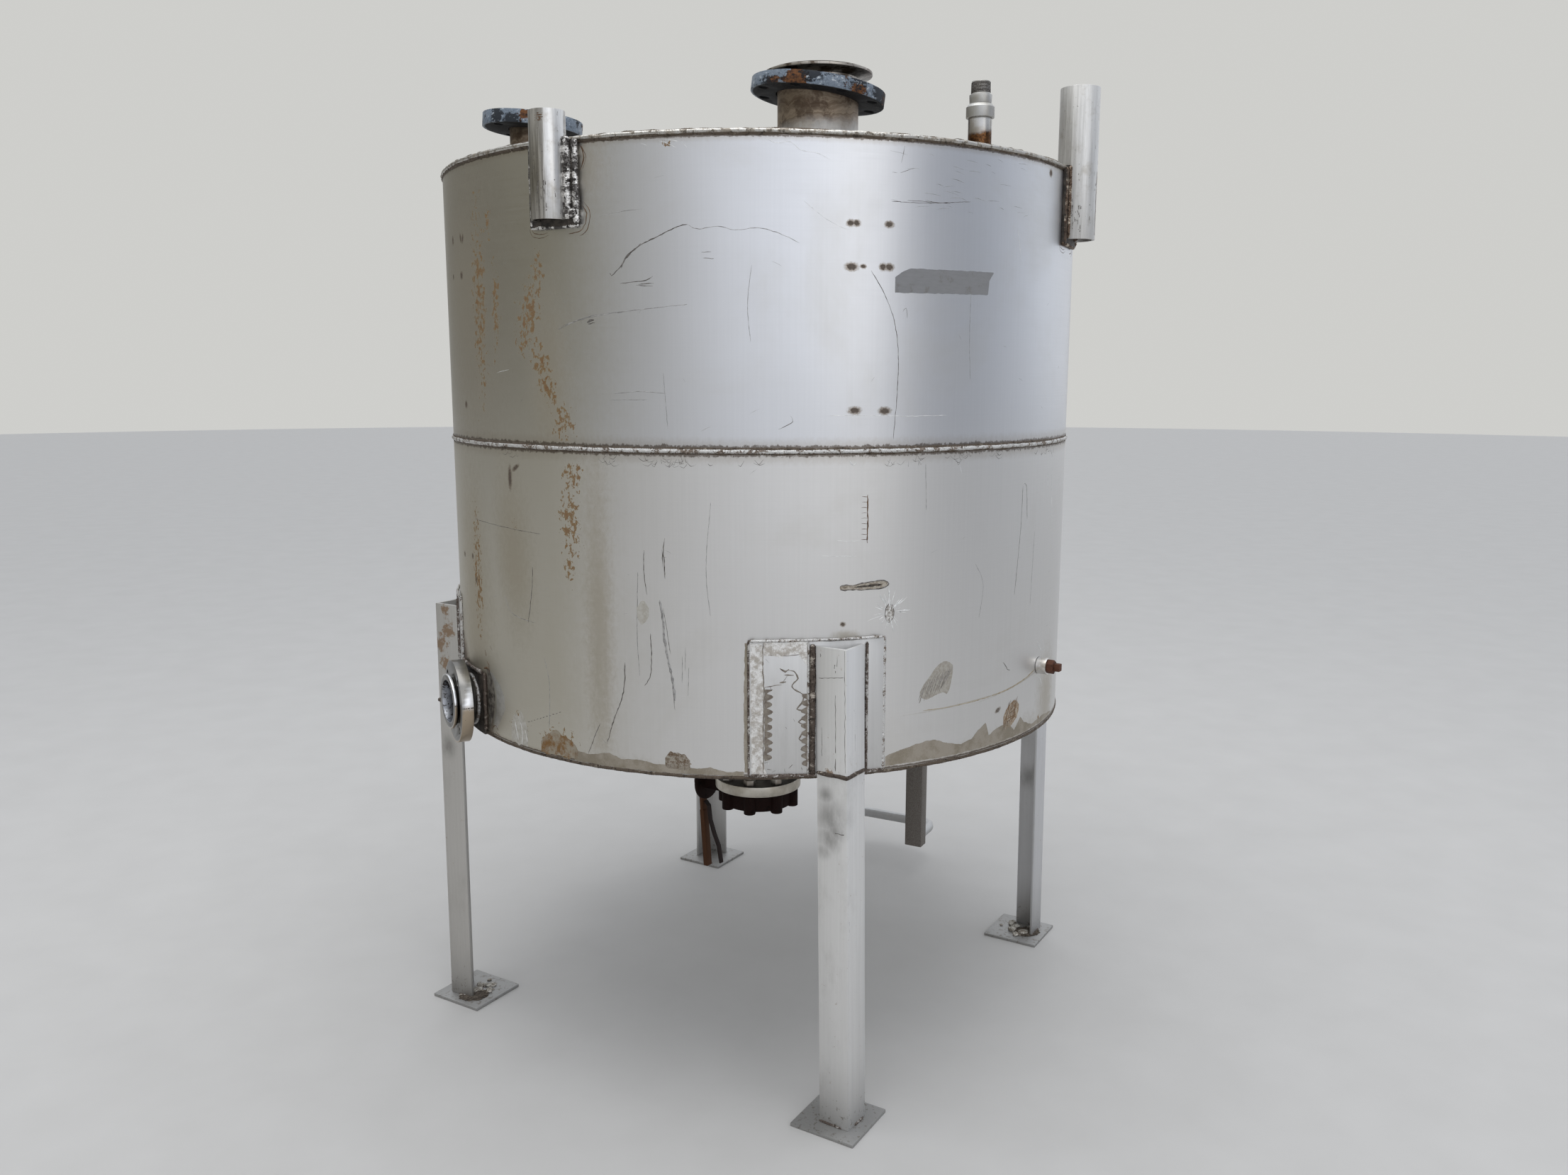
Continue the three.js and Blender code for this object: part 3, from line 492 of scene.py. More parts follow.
def burrs(name, lines, finish, seed, wobble=0.9, radius=TANK_RADIUS):
    """Fine lines on the shell, each a half width in mm and points as azimuth in degrees and height in mm."""
    chance = random.Random(seed)
    paths = []
    for half, *points in lines:
        points = [(math.radians(azimuth) * radius * 1000, height) for azimuth, height in points]
        path = []
        for k, (here, there) in enumerate(zip(points, points[1:])):
            before, after = points[max(k - 1, 0)], points[min(k + 2, len(points) - 1)]
            count = max(2, round(math.dist(here, there) / 5))
            for step in range(count):
                knots = zip(before, here, there, after)
                path.append([curve_through(*four, step / count) for four in knots])
        path.append(points[-1])
        run = []
        for k, (along, height) in enumerate(path):
            stray = wobble * min(1.0, half)
            taper = min(1.0, 0.3 + min(k, len(path) - 1 - k) / 3)
            along += chance.uniform(-stray, stray) * 0.8
            height += chance.uniform(-stray, stray) * 0.8
            run.append((along / 1000, height / 1000, half / 1000 * taper * chance.uniform(0.5, 1.2)))
        paths.append(run)

    def wrap(x, y, z):
        return polar(radius + z + CLEARANCE, math.degrees(x / radius), y)

    return burr_ribbon(name, paths, finish, wrap)


def burr_look(name, dark, light, metallic, roughness):
    """Scraped metal: its tone changes along the line."""
    look = Finish(name, metallic=metallic)
    patchy = look.noise(look.place, 130.0, 4.0, 0.7)
    colour = look.mix(look.between(patchy, 0.35, 0.65), dark, light)
    return look.done(colour, look.scaled(patchy, roughness, roughness + 0.2))


dark_burr = burr_look("old_scratch", (0.075, 0.065, 0.055), (0.25, 0.235, 0.22), 0.6, 0.5)
faint_burr = burr_look("faint_scratch", (0.24, 0.235, 0.23), (0.50, 0.49, 0.48), 0.9, 0.42)
pale_burr = burr_look("fresh_scratch", (0.62, 0.62, 0.61), (0.88, 0.88, 0.87), 0.7, 0.38)
rust_burr = burr_look("rusty_line", (0.065, 0.033, 0.017), (0.17, 0.10, 0.05), 0.1, 0.7)
grey_scrape = burr_look("grey_scrape", (0.20, 0.185, 0.165), (0.36, 0.34, 0.31), 0.4, 0.6)
chance = random.Random(29)
burrs("old_scratches", [
    (1.1, (-35.2, 1491), (-34.9, 1486), (-34.0, 1496), (-33.2, 1503), (-32.2, 1520), (-31.4, 1524),
     (-30.2, 1535)),
    (0.96, (-33.4, 1497), (-32.6, 1512), (-31.0, 1528), (-28.6, 1541), (-26.0, 1553), (-24.2, 1561),
     (-23.0, 1563)), (0.8, (-33.6, 1474), (-31.6, 1475), (-29.4, 1478), (-28.4, 1484)),
    (0.8, (-30.6, 1472), (-28.2, 1473)), (0.64, (-31.0, 1470), (-28.4, 1468)),
    (0.8, (-21.0, 1520), (-19.6, 1521)), (0.64, (-20.8, 1511), (-19.2, 1510)),
    (2.6, (-39.4, 1412), (-38.8, 1415), (-38.2, 1416)), (1.6, (-39.2, 1410), (-38.0, 1412)),
    (0.56, (9.0, 1430), (9.6, 1436), (9.8, 1420)), (0.48, (8.4, 1664), (8.9, 1690)),
    (0.48, (8.2, 1648), (10.4, 1656)),
    (0.56, (3.8, 1494), (5.6, 1465), (7.2, 1429), (8.1, 1392), (8.4, 1355), (8.4, 1318), (8.2, 1280),
     (7.8, 1223)), (0.48, (6.9, 1603), (13.0, 1604), (20.9, 1612)), (0.48, (9.5, 1606), (17.0, 1606)),
    (0.8, (-27.1, 1059), (-27.4, 1038), (-27.3, 1020), (-27.2, 991)), (0.64, (-27.6, 1040), (-27.5, 1010)),
    (0.64, (-30.5, 1038), (-30.6, 1000), (-30.2, 961)),
    (0.8, (-29.7, 895), (-29.6, 860), (-29.8, 823), (-30.8, 803)),
    (0.96, (-34.1, 841), (-34.3, 800), (-35.0, 770), (-36.4, 733), (-37.6, 692)),
    (0.72, (-38.8, 727), (-39.8, 704), (-41.2, 669)),
    (0.8, (-52.1, 992), (-52.3, 960), (-52.9, 925), (-53.7, 888)),
    (0.5, (-27.6, 940), (-27.0, 900), (-26.5, 862)), (0.5, (-26.2, 800), (-25.9, 764)),
    (0.64, (36.4, 1131), (37.4, 1128), (38.0, 1067)),
    (0.56, (36.2, 1129), (36.0, 1060), (35.4, 1000), (34.6, 930)),
    (0.8, (31.8, 808), (32.6, 800), (33.2, 792), (34.0, 789)), (0.8, (30.2, 716), (31.6, 722)),
    (0.8, (30.6, 724), (31.2, 712)), (0.48, (-9.9, 1240), (-7.8, 1252), (-8.2, 1262)),
    (0.48, (-70, 1060), (-50, 1052)),
], dark_burr, 31)
burrs("faint_scratches", [
    (0.56, (-23.0, 1563), (-21.6, 1556), (-18.6, 1560), (-16.2, 1554), (-12.6, 1557), (-9.4, 1547),
     (-6.9, 1534)), (0.56, (-44.9, 1402), (-41.0, 1416), (-36.0, 1425), (-29.0, 1433), (-23.2, 1439)),
    (0.49, (-44.0, 1408), (-38.0, 1424), (-31.0, 1431)), (0.42, (-36.8, 1580), (-33.6, 1586), (-29.8, 1589)),
    (0.42, (-13.8, 1500), (-14.4, 1440), (-14.0, 1380)), (0.49, (-35.2, 1296), (-31.0, 1300), (-26.6, 1297)),
    (0.42, (-35.8, 1286), (-29.6, 1287)), (0.42, (-27.0, 1330), (-26.4, 1240)),
    (0.42, (21.6, 1480), (21.4, 1400), (21.8, 1320)),
    (2.2, (-28.1, 953), (-27.6, 915), (-27.4, 884), (-26.9, 850), (-26.3, 818), (-25.9, 780)),
    (0.49, (-24.1, 874), (-24.2, 834)), (0.49, (-24.6, 860), (-24.7, 812)),
    (0.49, (-23.6, 840), (-23.8, 790)), (0.56, (-31.6, 1000), (-31.9, 900), (-31.6, 820)),
    (0.42, (-20, 1120), (-20.8, 1010), (-20.2, 930)), (0.56, (-50.0, 830), (-49.0, 780), (-49.4, 700)),
    (0.42, (13.5, 1180), (13.8, 1100)), (0.49, (41, 1040), (40.2, 900)),
    (0.42, (24, 1000), (26, 960), (25.2, 900)), (0.56, (-60, 930), (-58, 900), (-52, 890)),
], faint_burr, 32)
nicks = []
for k in range(74):
    by_the_rim = k < 34
    if by_the_rim:
        azimuth, height = chance.uniform(6, 34), 1595 + 95 * chance.random() ** 1.3
        reach, drop = chance.uniform(0.8, 3.0), chance.uniform(-6, 4)
    else:
        azimuth, height = chance.uniform(-66, 50), chance.uniform(700, 1640)
        reach, drop = chance.uniform(-1.6, 1.6), chance.uniform(-9, 9)
    half = chance.uniform(0.25, 0.45) if by_the_rim else chance.uniform(0.2, 0.4)
    middle = (azimuth + reach / 2, height + drop / 2 + (0.6 if by_the_rim else 0.5))
    nicks.append((half, (azimuth, height), middle, (azimuth + reach, height + drop)))
burrs("fine_nicks", nicks, faint_burr, 30)
burrs("fresh_scratches", [
    (0.45, (-2.4, 1262), (3.0, 1262), (10.0, 1260), (17.3, 1260)), (0.52, (-30, 1690), (-28.8, 1684)),
    (0.65, (-27.2, 1692), (-26.0, 1688), (-24.6, 1680)), (0.78, (-26.4, 1694), (-24.2, 1690)),
    (0.65, (-23.8, 1689), (-23, 1680)),
    (0.45, (-11.8, 1693), (-10.2, 1686), (-8.2, 1688), (-6.8, 1676), (-4.4, 1672), (-2.7, 1663)),
    (0.5, (-1.2, 1056), (0.6, 1054), (2.6, 1054)), (0.5, (-3.5, 1031), (-1.0, 1029), (2.0, 1028)),
    (0.39, (-6.4, 1600), (-3.0, 1572), (0.2, 1556)), (0.39, (-60, 1330), (-56.4, 1336)),
    (0.52, (32, 1580), (33.4, 1520)), (0.65, (0.6, 1192), (1.2, 1180), (2.2, 1186)),
    (1.2, (0.8, 1188), (1.5, 1179)), (0.65, (20.0, 1178), (20.6, 1158)), (0.65, (46.0, 1150), (46.6, 1110)),
    (0.78, (48.4, 1160), (48.8, 1090), (49.4, 1050)), (0.78, (43.6, 826), (45.2, 812), (46.2, 800)),
    (1.2, (44.2, 818), (45.8, 804)), (0.78, (44.6, 758), (46.4, 742), (47.2, 728)),
    (1, (-56.8, 700), (-56.2, 676), (-56.6, 652)), (1.8, (-58.2, 694), (-57.4, 660)),
    (1.2, (-55.6, 690), (-54.8, 660)),
], pale_burr, 33)
star = []
chance = random.Random(5)
for k in range(26):
    turn = 2 * math.pi * k / 26 + chance.uniform(-0.15, 0.15)
    inner, outer = chance.uniform(6, 14), chance.uniform(22, 44)
    ends = [
        (7.6 + math.degrees(r * math.cos(turn) / (TANK_RADIUS * 1000)), 929 + r * math.sin(turn))
        for r in (inner, outer)
    ]
    star.append((chance.uniform(0.5, 1.7), *ends))
burrs("grinding_star", star, pale_burr, 34)
burrs("grinding_star_ring", [
    (0.8, (7.2, 914), (6.9, 924), (7.0, 934), (7.5, 943), (8.1, 941), (8.4, 930), (8.2, 918), (7.6, 911),
     (7.2, 914)), (1.9, (7.6, 921), (7.5, 915)), (1.5, (7.9, 940), (8.0, 933)), (1.2, (9.3, 929), (9.7, 927)),
    (1.2, (7.3, 932), (7.5, 928)),
], dark_burr, 45)
SLOT_BURN = [
    (-0.5, 975), (-0.3, 979), (0.6, 980), (1.6, 978), (2.6, 981), (4.0, 983), (5.6, 985), (6.8, 984),
    (7.4, 979), (7.0, 974), (5.8, 971), (4.4, 971), (3.0, 970), (1.6, 972), (0.4, 971), (-0.3, 972),
    (-0.5, 975),
]
burrs("slot_burn_edge", [(1.2, *SLOT_BURN), (0.8, *SLOT_BURN[3:12])], dark_burr, 48)
burnt_line = burr_look("burnt_line", (0.025, 0.02, 0.017), (0.11, 0.09, 0.07), 0.3, 0.6)
burrs("slot_burn_core", [
    (2.3, (1.6, 975), (3.4, 976.5), (5.2, 978), (6.4, 978)), (1.5, (-0.2, 976), (0.8, 976)),
], burnt_line, 49)


def hatching(corner_pairs, half, spacing, chance):
    """Strokes to and fro between two edges of a worn patch, given as pairs of points."""
    strokes = []
    for (a, p), (b, q) in corner_pairs:
        width, start = half * chance.uniform(0.7, 1.3), (a + chance.uniform(-0.3, 0.3), p)
        strokes.append((width, start, (b, q + chance.uniform(-spacing, spacing))))
    return strokes


OVER_FILM = TANK_RADIUS + 0.0001
grey_patch = [
    ((13.0 + 0.34 * k, 762 + 1.2 * k + 5 * (k % 3)), (14.2 + 0.38 * k, 792 + 3.6 * k - 0.13 * k * k))
    for k in range(15)
]
burrs("scraped_patch_strokes", hatching(grey_patch, 1.0, 4, chance), grey_scrape, 35, radius=OVER_FILM)
brown_patch = [((32.4 + 0.33 * k, 676 + 1.5 * k), (34.0 + 0.28 * k, 724 + 0.5 * k)) for k in range(11)]
brown_patch += [((33.4 + 0.3 * k, 690 + 7 * k), (36.4 + 0.1 * k, 694 + 8 * k)) for k in range(4)]
burrs("scraped_brown_patch", hatching(brown_patch, 0.6, 6, chance), rust_burr, 36, radius=OVER_FILM)
# How many brush marks there are at each azimuth below the girth weld.
BRUSH_MARKS = {
    -56: 4, -36.4: 8, -30: 6, -26: 12, -22.5: 6, -14: 3, 9: 6, 12.5: 6, 20: 10, 30: 4, 43: 4, 47: 8
}
brushed = []
for middle, count in BRUSH_MARKS.items():
    for _ in range(count):
        azimuth, height = middle + chance.uniform(-2.2, 2.2), GIRTH_Z * 1000 - chance.uniform(8, 20)
        reach, sag = chance.uniform(-1.8, 1.8), chance.uniform(3, 12)
        low, end = (azimuth + reach * 0.5, height - sag), (azimuth + reach, height - sag * 0.6)
        brushed.append((chance.uniform(0.3, 0.6), (azimuth, height), low, end))
burrs("wire_brush_marks", brushed, dark_burr, 37)
residue = [(1.3, (3.75, 1131), (3.8, 1090), (3.75, 1050))]
residue += [(0.8, (2.8, 1128 - 9 * k), (3.75, 1127.5 - 9 * k)) for k in range(9)]
burrs("rust_run", residue, rust_burr, 38)
drain_stain = burr_look("drain_run_stain", (0.33, 0.27, 0.18), (0.50, 0.44, 0.34), 0.7, 0.5)
burrs("drain_run", [
    (1.3, (43.2, 771), (40.0, 763), (36.6, 757), (33.6, 753), (29.0, 750)),
    (0.8, (29.0, 750), (24.6, 748), (19.0, 747), (14.0, 748)),
], drain_stain, 39, wobble=0.4)


def drift(values, at):
    """A slow change from each value to the next."""
    whole, part = divmod(at, 1)
    return values[int(whole)] * (1 - part) + values[int(whole) + 1] * part


def film(name, rows, finish, ragged=0.0, seed=0, upright=False, radius=TANK_RADIUS, thick=0.00006):
    """A thin skin on the shell, such as tape, a dried stain or smeared metal. A row is an azimuth in degrees
    and the skin's lowest and highest points in mm, or with upright a height in mm and two azimuths."""
    chance = random.Random(seed)
    mm_per_degree = math.radians(1) * radius * 1000
    start, end = rows[0][0], rows[-1][0]
    columns = max(6, round((end - start) * (1 if upright else mm_per_degree) / 2.5))
    ragged = ragged / mm_per_degree if upright else ragged
    strays = [[chance.uniform(-ragged, ragged) for _ in range(columns // 3 + 3)] for _ in range(2)]
    edges = [[], []]
    row, off_sheet = 0, 0.00004
    for k in range(columns + 1):
        where = start + (end - start) * k / columns
        while row < len(rows) - 2 and rows[row + 1][0] < where:
            row += 1
        share = (where - rows[row][0]) / (rows[row + 1][0] - rows[row][0])
        for side, (edge, stray) in enumerate(zip(edges, strays), 1):
            wander = drift(stray, k / 3) + chance.uniform(-ragged, ragged) * 0.3
            edge.append(rows[row][side] * (1 - share) + rows[row + 1][side] * share + wander)
    bpy.ops.mesh.primitive_grid_add(x_subdivisions=columns, y_subdivisions=5, size=1.0)
    skin = bpy.context.object
    skin.name = skin.data.name = name
    for vertex in skin.data.vertices:
        along, over = vertex.co.x + 0.5, vertex.co.y + 0.5
        low, high = (edge[round(along * columns)] for edge in edges)
        where = start + (end - start) * along
        if upright:
            vertex.co = polar(radius + off_sheet, high + (low - high) * over, where / 1000)
        else:
            vertex.co = polar(radius + off_sheet, where, (low + (high - low) * over) / 1000)
    modify(skin, "SOLIDIFY", thickness=thick, offset=1.0)
    smooth(skin)
    return flush(skin, finish, "tank", "dull_stainless")


def smear_look(name, thin, full, metallic, roughness, scale=70.0, relief=0.15):
    """A stain or smeared metal, cloudy and pitted."""
    look = Finish(name, metallic=metallic)
    patchy = look.noise(look.place, scale, 6.0, 0.72)
    fine = look.noise(look.place, 640.0, 3.0, 0.6)
    colour = look.mix(look.between(look.plus(patchy, look.scaled(fine, -0.1, 0.1)), 0.38, 0.62), thin, full)
    return look.done(
        colour, look.scaled(fine, roughness, roughness + 0.2), None, look.bump(patchy, relief, 0.0012)
    )


slot_brown = smear_look("slot_brown", (0.46, 0.42, 0.36), (0.27, 0.23, 0.18), 0.6, 0.5, 150.0)
film("slot_burn", [
    (-0.5, 973, 977), (0.6, 971.5, 979.5), (2.6, 970.5, 980.5), (4.4, 971.5, 983), (6.0, 972, 984.5),
    (7.2, 975, 982),
], slot_brown, ragged=0.6, seed=47)
ground_spot = smear_look("ground_spot", (0.80, 0.79, 0.77), (0.22, 0.19, 0.16), 0.9, 0.3, 170.0)
film("grinding_spot", [
    (6.9, 922, 932), (7.3, 914, 942), (7.9, 912, 942), (8.4, 922, 934),
], ground_spot, ragged=1.5, seed=46)
tape_look = Finish("grey_tape", metallic=0.0, roughness=0.55)
tape_wrinkle = tape_look.noise(tape_look.stretched(tape_look.place, (60, 60, 300)), 1.0, 3.0)
tape_soil = tape_look.noise(tape_look.place, 60.0, 5.0, 0.7)
tape_colour = tape_look.mix(tape_wrinkle, (0.175, 0.176, 0.18), (0.225, 0.226, 0.23))
tape_colour = tape_look.mix(tape_look.between(tape_soil, 0.55, 0.7), tape_colour, (0.10, 0.08, 0.06), 0.4)
tape_look = tape_look.done(tape_colour, None, None, tape_look.bump(tape_wrinkle, 0.3, 0.0005))
TAPE = [
    (7.7, 1460, 1485), (8.9, 1460, 1494), (10.1, 1460, 1499), (24.9, 1462, 1500), (25.2, 1463, 1500),
    (25.4, 1486, 1500), (26.3, 1498, 1500),
]
film("tape_strip", TAPE, tape_look, ragged=0.5, seed=40, thick=0.0002)
water_stain = smear_look("water_stain", (0.38, 0.34, 0.285), (0.285, 0.25, 0.195), 0.8, 0.42, 24.0)
film("water_stain_right", [
    (7.3, 657, 673), (8.6, 657, 679), (12.1, 657, 687), (14.5, 657, 692), (16.5, 657, 691), (19.0, 657, 680),
    (21.8, 657, 674), (24.3, 657, 679), (25.8, 657, 692), (27.7, 657, 703), (28.5, 657, 676),
    (30.4, 657, 684), (33.9, 657, 690), (36.0, 657, 668), (38.0, 657, 690), (39.5, 657, 676),
    (42.6, 657, 664), (48.0, 657, 668), (54.0, 657, 660),
], water_stain, ragged=1.0, seed=41)
film("water_stain_left", [
    (-44.0, 652, 672), (-41.2, 652, 668), (-37.2, 652, 676), (-35.0, 652, 668), (-32.2, 652, 670),
    (-29, 652, 666), (-25.4, 652, 668), (-23.0, 652, 662), (-20.4, 652, 666), (-18.0, 652, 658),
    (-15.2, 652, 660),
], water_stain, ragged=1.0, seed=42)
rust_bloom = smear_look("rust_bloom", (0.30, 0.265, 0.205), (0.19, 0.098, 0.03), 0.3, 0.6, 62.0)
film("rust_bloom_low", [
    (-51.4, 655, 672), (-50.2, 653, 686), (-48.6, 652, 697), (-47.6, 656, 700), (-46.4, 653, 694),
    (-45.0, 654, 690), (-43.8, 654, 680), (-43.2, 660, 668),
], rust_bloom, ragged=3.0, seed=57)
brown_scale = smear_look("brown_scale", (0.36, 0.33, 0.28), (0.13, 0.085, 0.05), 0.4, 0.6, 170.0, 0.6)
film("brown_scale_low", [
    (-27.6, 664, 676), (-26.8, 660, 690), (-25.6, 658, 687), (-24.6, 660, 689), (-23.6, 660, 676),
], brown_scale, ragged=2.4, seed=58)
pale_scrape = smear_look("pale_scrape", (0.52, 0.505, 0.465), (0.42, 0.395, 0.345), 0.6, 0.5, 120.0)
film("pale_scrape_low", [
    (-59.4, 655, 690), (-58.2, 654, 712), (-57.2, 654, 706), (-56.4, 654, 720), (-55.4, 654, 704),
    (-54.8, 656, 688),
], pale_scrape, ragged=2.6, seed=59)
film("pale_scrape_high", [
    (-31.9, 922, 938), (-31.2, 908, 951), (-30.5, 912, 950), (-29.9, 926, 940),
], pale_scrape, ragged=3.0, seed=61)
burrs("dotted_scratch", [
    (1.2, (-54.6 + 0.76 * k, 702 + 3.2 * k), (-54.2 + 0.76 * k, 703.6 + 3.2 * k)) for k in range(11)
], dark_burr, 60)
brown_scrape = smear_look("brown_scrape", (0.47, 0.445, 0.40), (0.36, 0.33, 0.285), 0.7, 0.5, 170.0)
film("scraped_patch", [
    (13.3, 776, 782), (14.0, 768, 794), (15.0, 768, 807), (16.0, 771, 819), (17.0, 774, 828),
    (17.9, 776, 833), (18.6, 772, 831), (19.2, 782, 827), (19.7, 806, 822),
], brown_scrape, ragged=1.2, seed=43)
brown_wash = smear_look("brown_wash", (0.46, 0.40, 0.32), (0.25, 0.165, 0.095), 0.5, 0.55, 130.0)
film("brown_wash", [
    (32.5, 684, 700), (33.2, 676, 716), (34.4, 678, 724), (35.8, 684, 727), (36.8, 694, 724),
    (37.3, 704, 716),
], brown_wash, ragged=2.4, seed=62)
film("heat_tint_front_pad", [
    (658, -15.1, -14.2), (760, -15.2, -14.2), (884, -15.0, -14.2),
], water_stain, 0.8, 44, upright=True)

# -----------------------------------------------------------------------------
# Roof and bottom: flat discs of stainless plate, welded to the shell all round and dull from standing
# outside. Round holes are cut where the pipes pass.
def plain_plate(name, tone, roughness):
    """Dull mill plate with a little grime, for the flat plates."""
    look = Finish(name, metallic=1.0)
    cloud = look.noise(look.place, 4.0, 6.0, 0.65, 0.6)
    fine = look.noise(look.stretched(look.place, (40, 420, 60)), 1.0, 3.0)
    spots = look.noise(look.place, 48.0, 5.0, 0.7)
    colour = look.mix(look.between(fine, 0.3, 0.7), toned(tone, 0.88), tone)
    colour = look.mix(look.between(cloud, 0.42, 0.72), colour, (0.34, 0.31, 0.26), 0.55)
    colour = look.mix(look.between(spots, 0.62, 0.7), colour, (0.20, 0.15, 0.10), 0.6)
    rough = look.scaled(cloud, roughness - 0.08, roughness + 0.16)
    return look.done(colour, rough, None, look.bump(fine, 0.12, 0.0005))


def flat_disc(name, foot, top, holes):
    """A round plate of the tank's radius. A hole is its place and its radius."""
    cutters = [rod_cutter(radius, (x, y, foot - 0.02), (x, y, top + 0.02)) for (x, y, _), radius in holes]
    disc = cylinder(name, ROUND_SIDES, TANK_RADIUS, foot, top)
    cut_away(disc, cutters)
    smooth(disc)
    return disc


plate_look = plain_plate("dull_plate", (0.55, 0.545, 0.53), 0.42)
BOTTOM_UNDERSIDE = 0.646
roof_nozzle_place, edge_nozzle_place = Vector((0.126, 0.016, ROOF_TOP)), polar(0.462, -85.2, ROOF_TOP)
vent_place, outlet_place = polar(0.5345, 34.3, ROOF_TOP), Vector((-0.008, 0, 0))
roof = flat_disc("roof_plate", RIM_Z, ROOF_TOP, [
    (roof_nozzle_place, 0.08445), (edge_nozzle_place, 0.04475), (vent_place, 0.0214),
])
flush(roof, plate_look, "tank", "dull_stainless", "tank_roof")
bottom = flat_disc("bottom_plate", BOTTOM_UNDERSIDE, SHELL_FOOT, [(outlet_place, 0.04475)])
flush(bottom, plate_look, "tank", "dull_stainless", "tank_bottom")

# -----------------------------------------------------------------------------
# Seam welds: rippled beads laid by hand round the girth, the rim and the bottom edge, and up the back of each
# course. They are bright where they were brushed and brown where they weren't.
def weld_look(name, silver, brown, share, roughness=0.34, relief=1.0, grain=270.0):
    """Weld metal: silver ripples, with brown and black scale over this share of it."""
    look = Finish(name, metallic=1.0)
    patchy = look.noise(look.place, 55.0, 5.0, 0.75)
    fine = look.noise(look.place, 620.0, 3.0, 0.6)
    ridge = look.noise(look.place, grain, 4.0, 0.75)
    colour = look.mix(look.between(fine, 0.3, 0.7), toned(silver, 0.7), silver)
    level = look.plus(look.plus(patchy, look.scaled(ridge, -0.3, 0.3)), share - 1.0)
    scale = look.between(level, -0.06, 0.02)
    colour = look.mix(scale, colour, brown, 0.9)
    black = look.between(look.plus(ridge, look.scaled(scale, -0.12, 0.0)), 0.54, 0.60)
    colour = look.mix(black, colour, toned(brown, 0.3), 0.8)
    rough = look.plus(look.scaled(fine, roughness - 0.08, roughness + 0.12), look.times(scale, 0.2))
    metal = look.scaled(scale, 1.0, 0.6)
    return look.done(colour, rough, metal, look.bump(ridge, relief, 0.0022, look.bump(fine, 0.3, 0.0005)))


RIPPLE_PITCH = 0.0042  # three points of a bead make one ripple
SWELL_POINTS, SWAY_POINTS = 7, 16  # points from one slow change of size, or of height, to the next


def weld_bead(name, spine, wide, high, finish, seed, closed=False, place=None, lumpy=1.0):
    """A run of weld metal along a level spine. wide is half its size up and down and high is half its size
    across. place moves it from the level to where it belongs."""
    chance = random.Random(seed)
    spine = [Vector(point) for point in spine]
    if closed:
        spine.append(spine[0])
    reach = [0.0]
    for here, there in zip(spine, spine[1:]):
        reach.append(reach[-1] + (there - here).length)
    count = max(6, round(reach[-1] / (RIPPLE_PITCH / 3)))
    knots = [chance.uniform(-1, 1) for _ in range(count // SWELL_POINTS + 3)]
    sway = [chance.uniform(-1, 1) for _ in range(count // SWAY_POINTS + 3)]
    if closed:
        knots[-3:] = sway[-3:] = [knots[0]] * 3
    points = []
    leg = 0
    for k in range(count if closed else count + 1):
        far = reach[-1] * k / count
        while leg < len(reach) - 2 and reach[leg + 1] < far:
            leg += 1
        share = (far - reach[leg]) / max(reach[leg + 1] - reach[leg], 1e-9)
        at = spine[leg].lerp(spine[leg + 1], share)
        at.z += drift(sway, k / SWAY_POINTS) * wide * 0.14
        taper = 1.0 if closed else min(1.0, 0.45 + min(k, count - k) / 5)
        ripple = (0.05, 0.0, -0.05)[k % 3] + chance.uniform(-0.06, 0.06)
        points.append((at, taper * (1.0 + 0.13 * drift(knots, k / SWELL_POINTS) + lumpy * ripple)))
    corners = [2 * math.pi * k / 8 for k in range(8)]
    bead = swept(name, [(high * math.cos(turn), wide * math.sin(turn)) for turn in corners], [points], closed)
    if place is not None:
        bead.matrix_world = place
        bpy.ops.object.transform_apply()
    edit_mesh(bead, (bpy.ops.mesh.remove_doubles, {"threshold": 1e-6}), OUTWARDS)
    bpy.ops.object.shade_smooth()
    return flush(bead, finish, "tank", "dull_stainless")


def ring(radius, height, start=-180.0, end=180.0):
    """Level points round the tank, about a degree apart. The last point of a full turn is left out."""
    count = round(end - start)
    full = end - start >= 360
    return [
        polar(radius, start + (end - start) * k / count, height) for k in range(count if full else count + 1)
    ]


bright_weld = weld_look("brushed_weld", (0.78, 0.77, 0.75), (0.20, 0.15, 0.11), 0.44)
scaly_weld = weld_look("scaly_weld", (0.66, 0.64, 0.61), (0.10, 0.068, 0.05), 0.55, 0.40)
rim_metal = weld_look("rim_weld_metal", (0.60, 0.58, 0.54), (0.30, 0.26, 0.21), 0.45, 0.30, 0.4, 130.0)
rim_toes = weld_look("rim_weld_toe_metal", (0.27, 0.235, 0.19), (0.10, 0.075, 0.055), 0.60, 0.45, 0.4, 130.0)
weld_bead("girth_weld_toes", ring(0.6348, GIRTH_Z), 0.0060, 0.0016, rim_toes, 10, closed=True)
weld_bead("girth_weld", ring(0.6354, GIRTH_Z - 0.0004), 0.0036, 0.0030, bright_weld, 11, closed=True)
weld_bead("rim_weld_toes", ring(0.6346, 1.7030), 0.0056, 0.0020, rim_toes, 9, closed=True, lumpy=0.4)
weld_bead("rim_weld", ring(0.6350, 1.7045), 0.0036, 0.0034, rim_metal, 12, closed=True, lumpy=0.35)
weld_bead("base_weld", ring(0.6350, 0.6485), 0.0030, 0.0016, rim_toes, 13, closed=True)


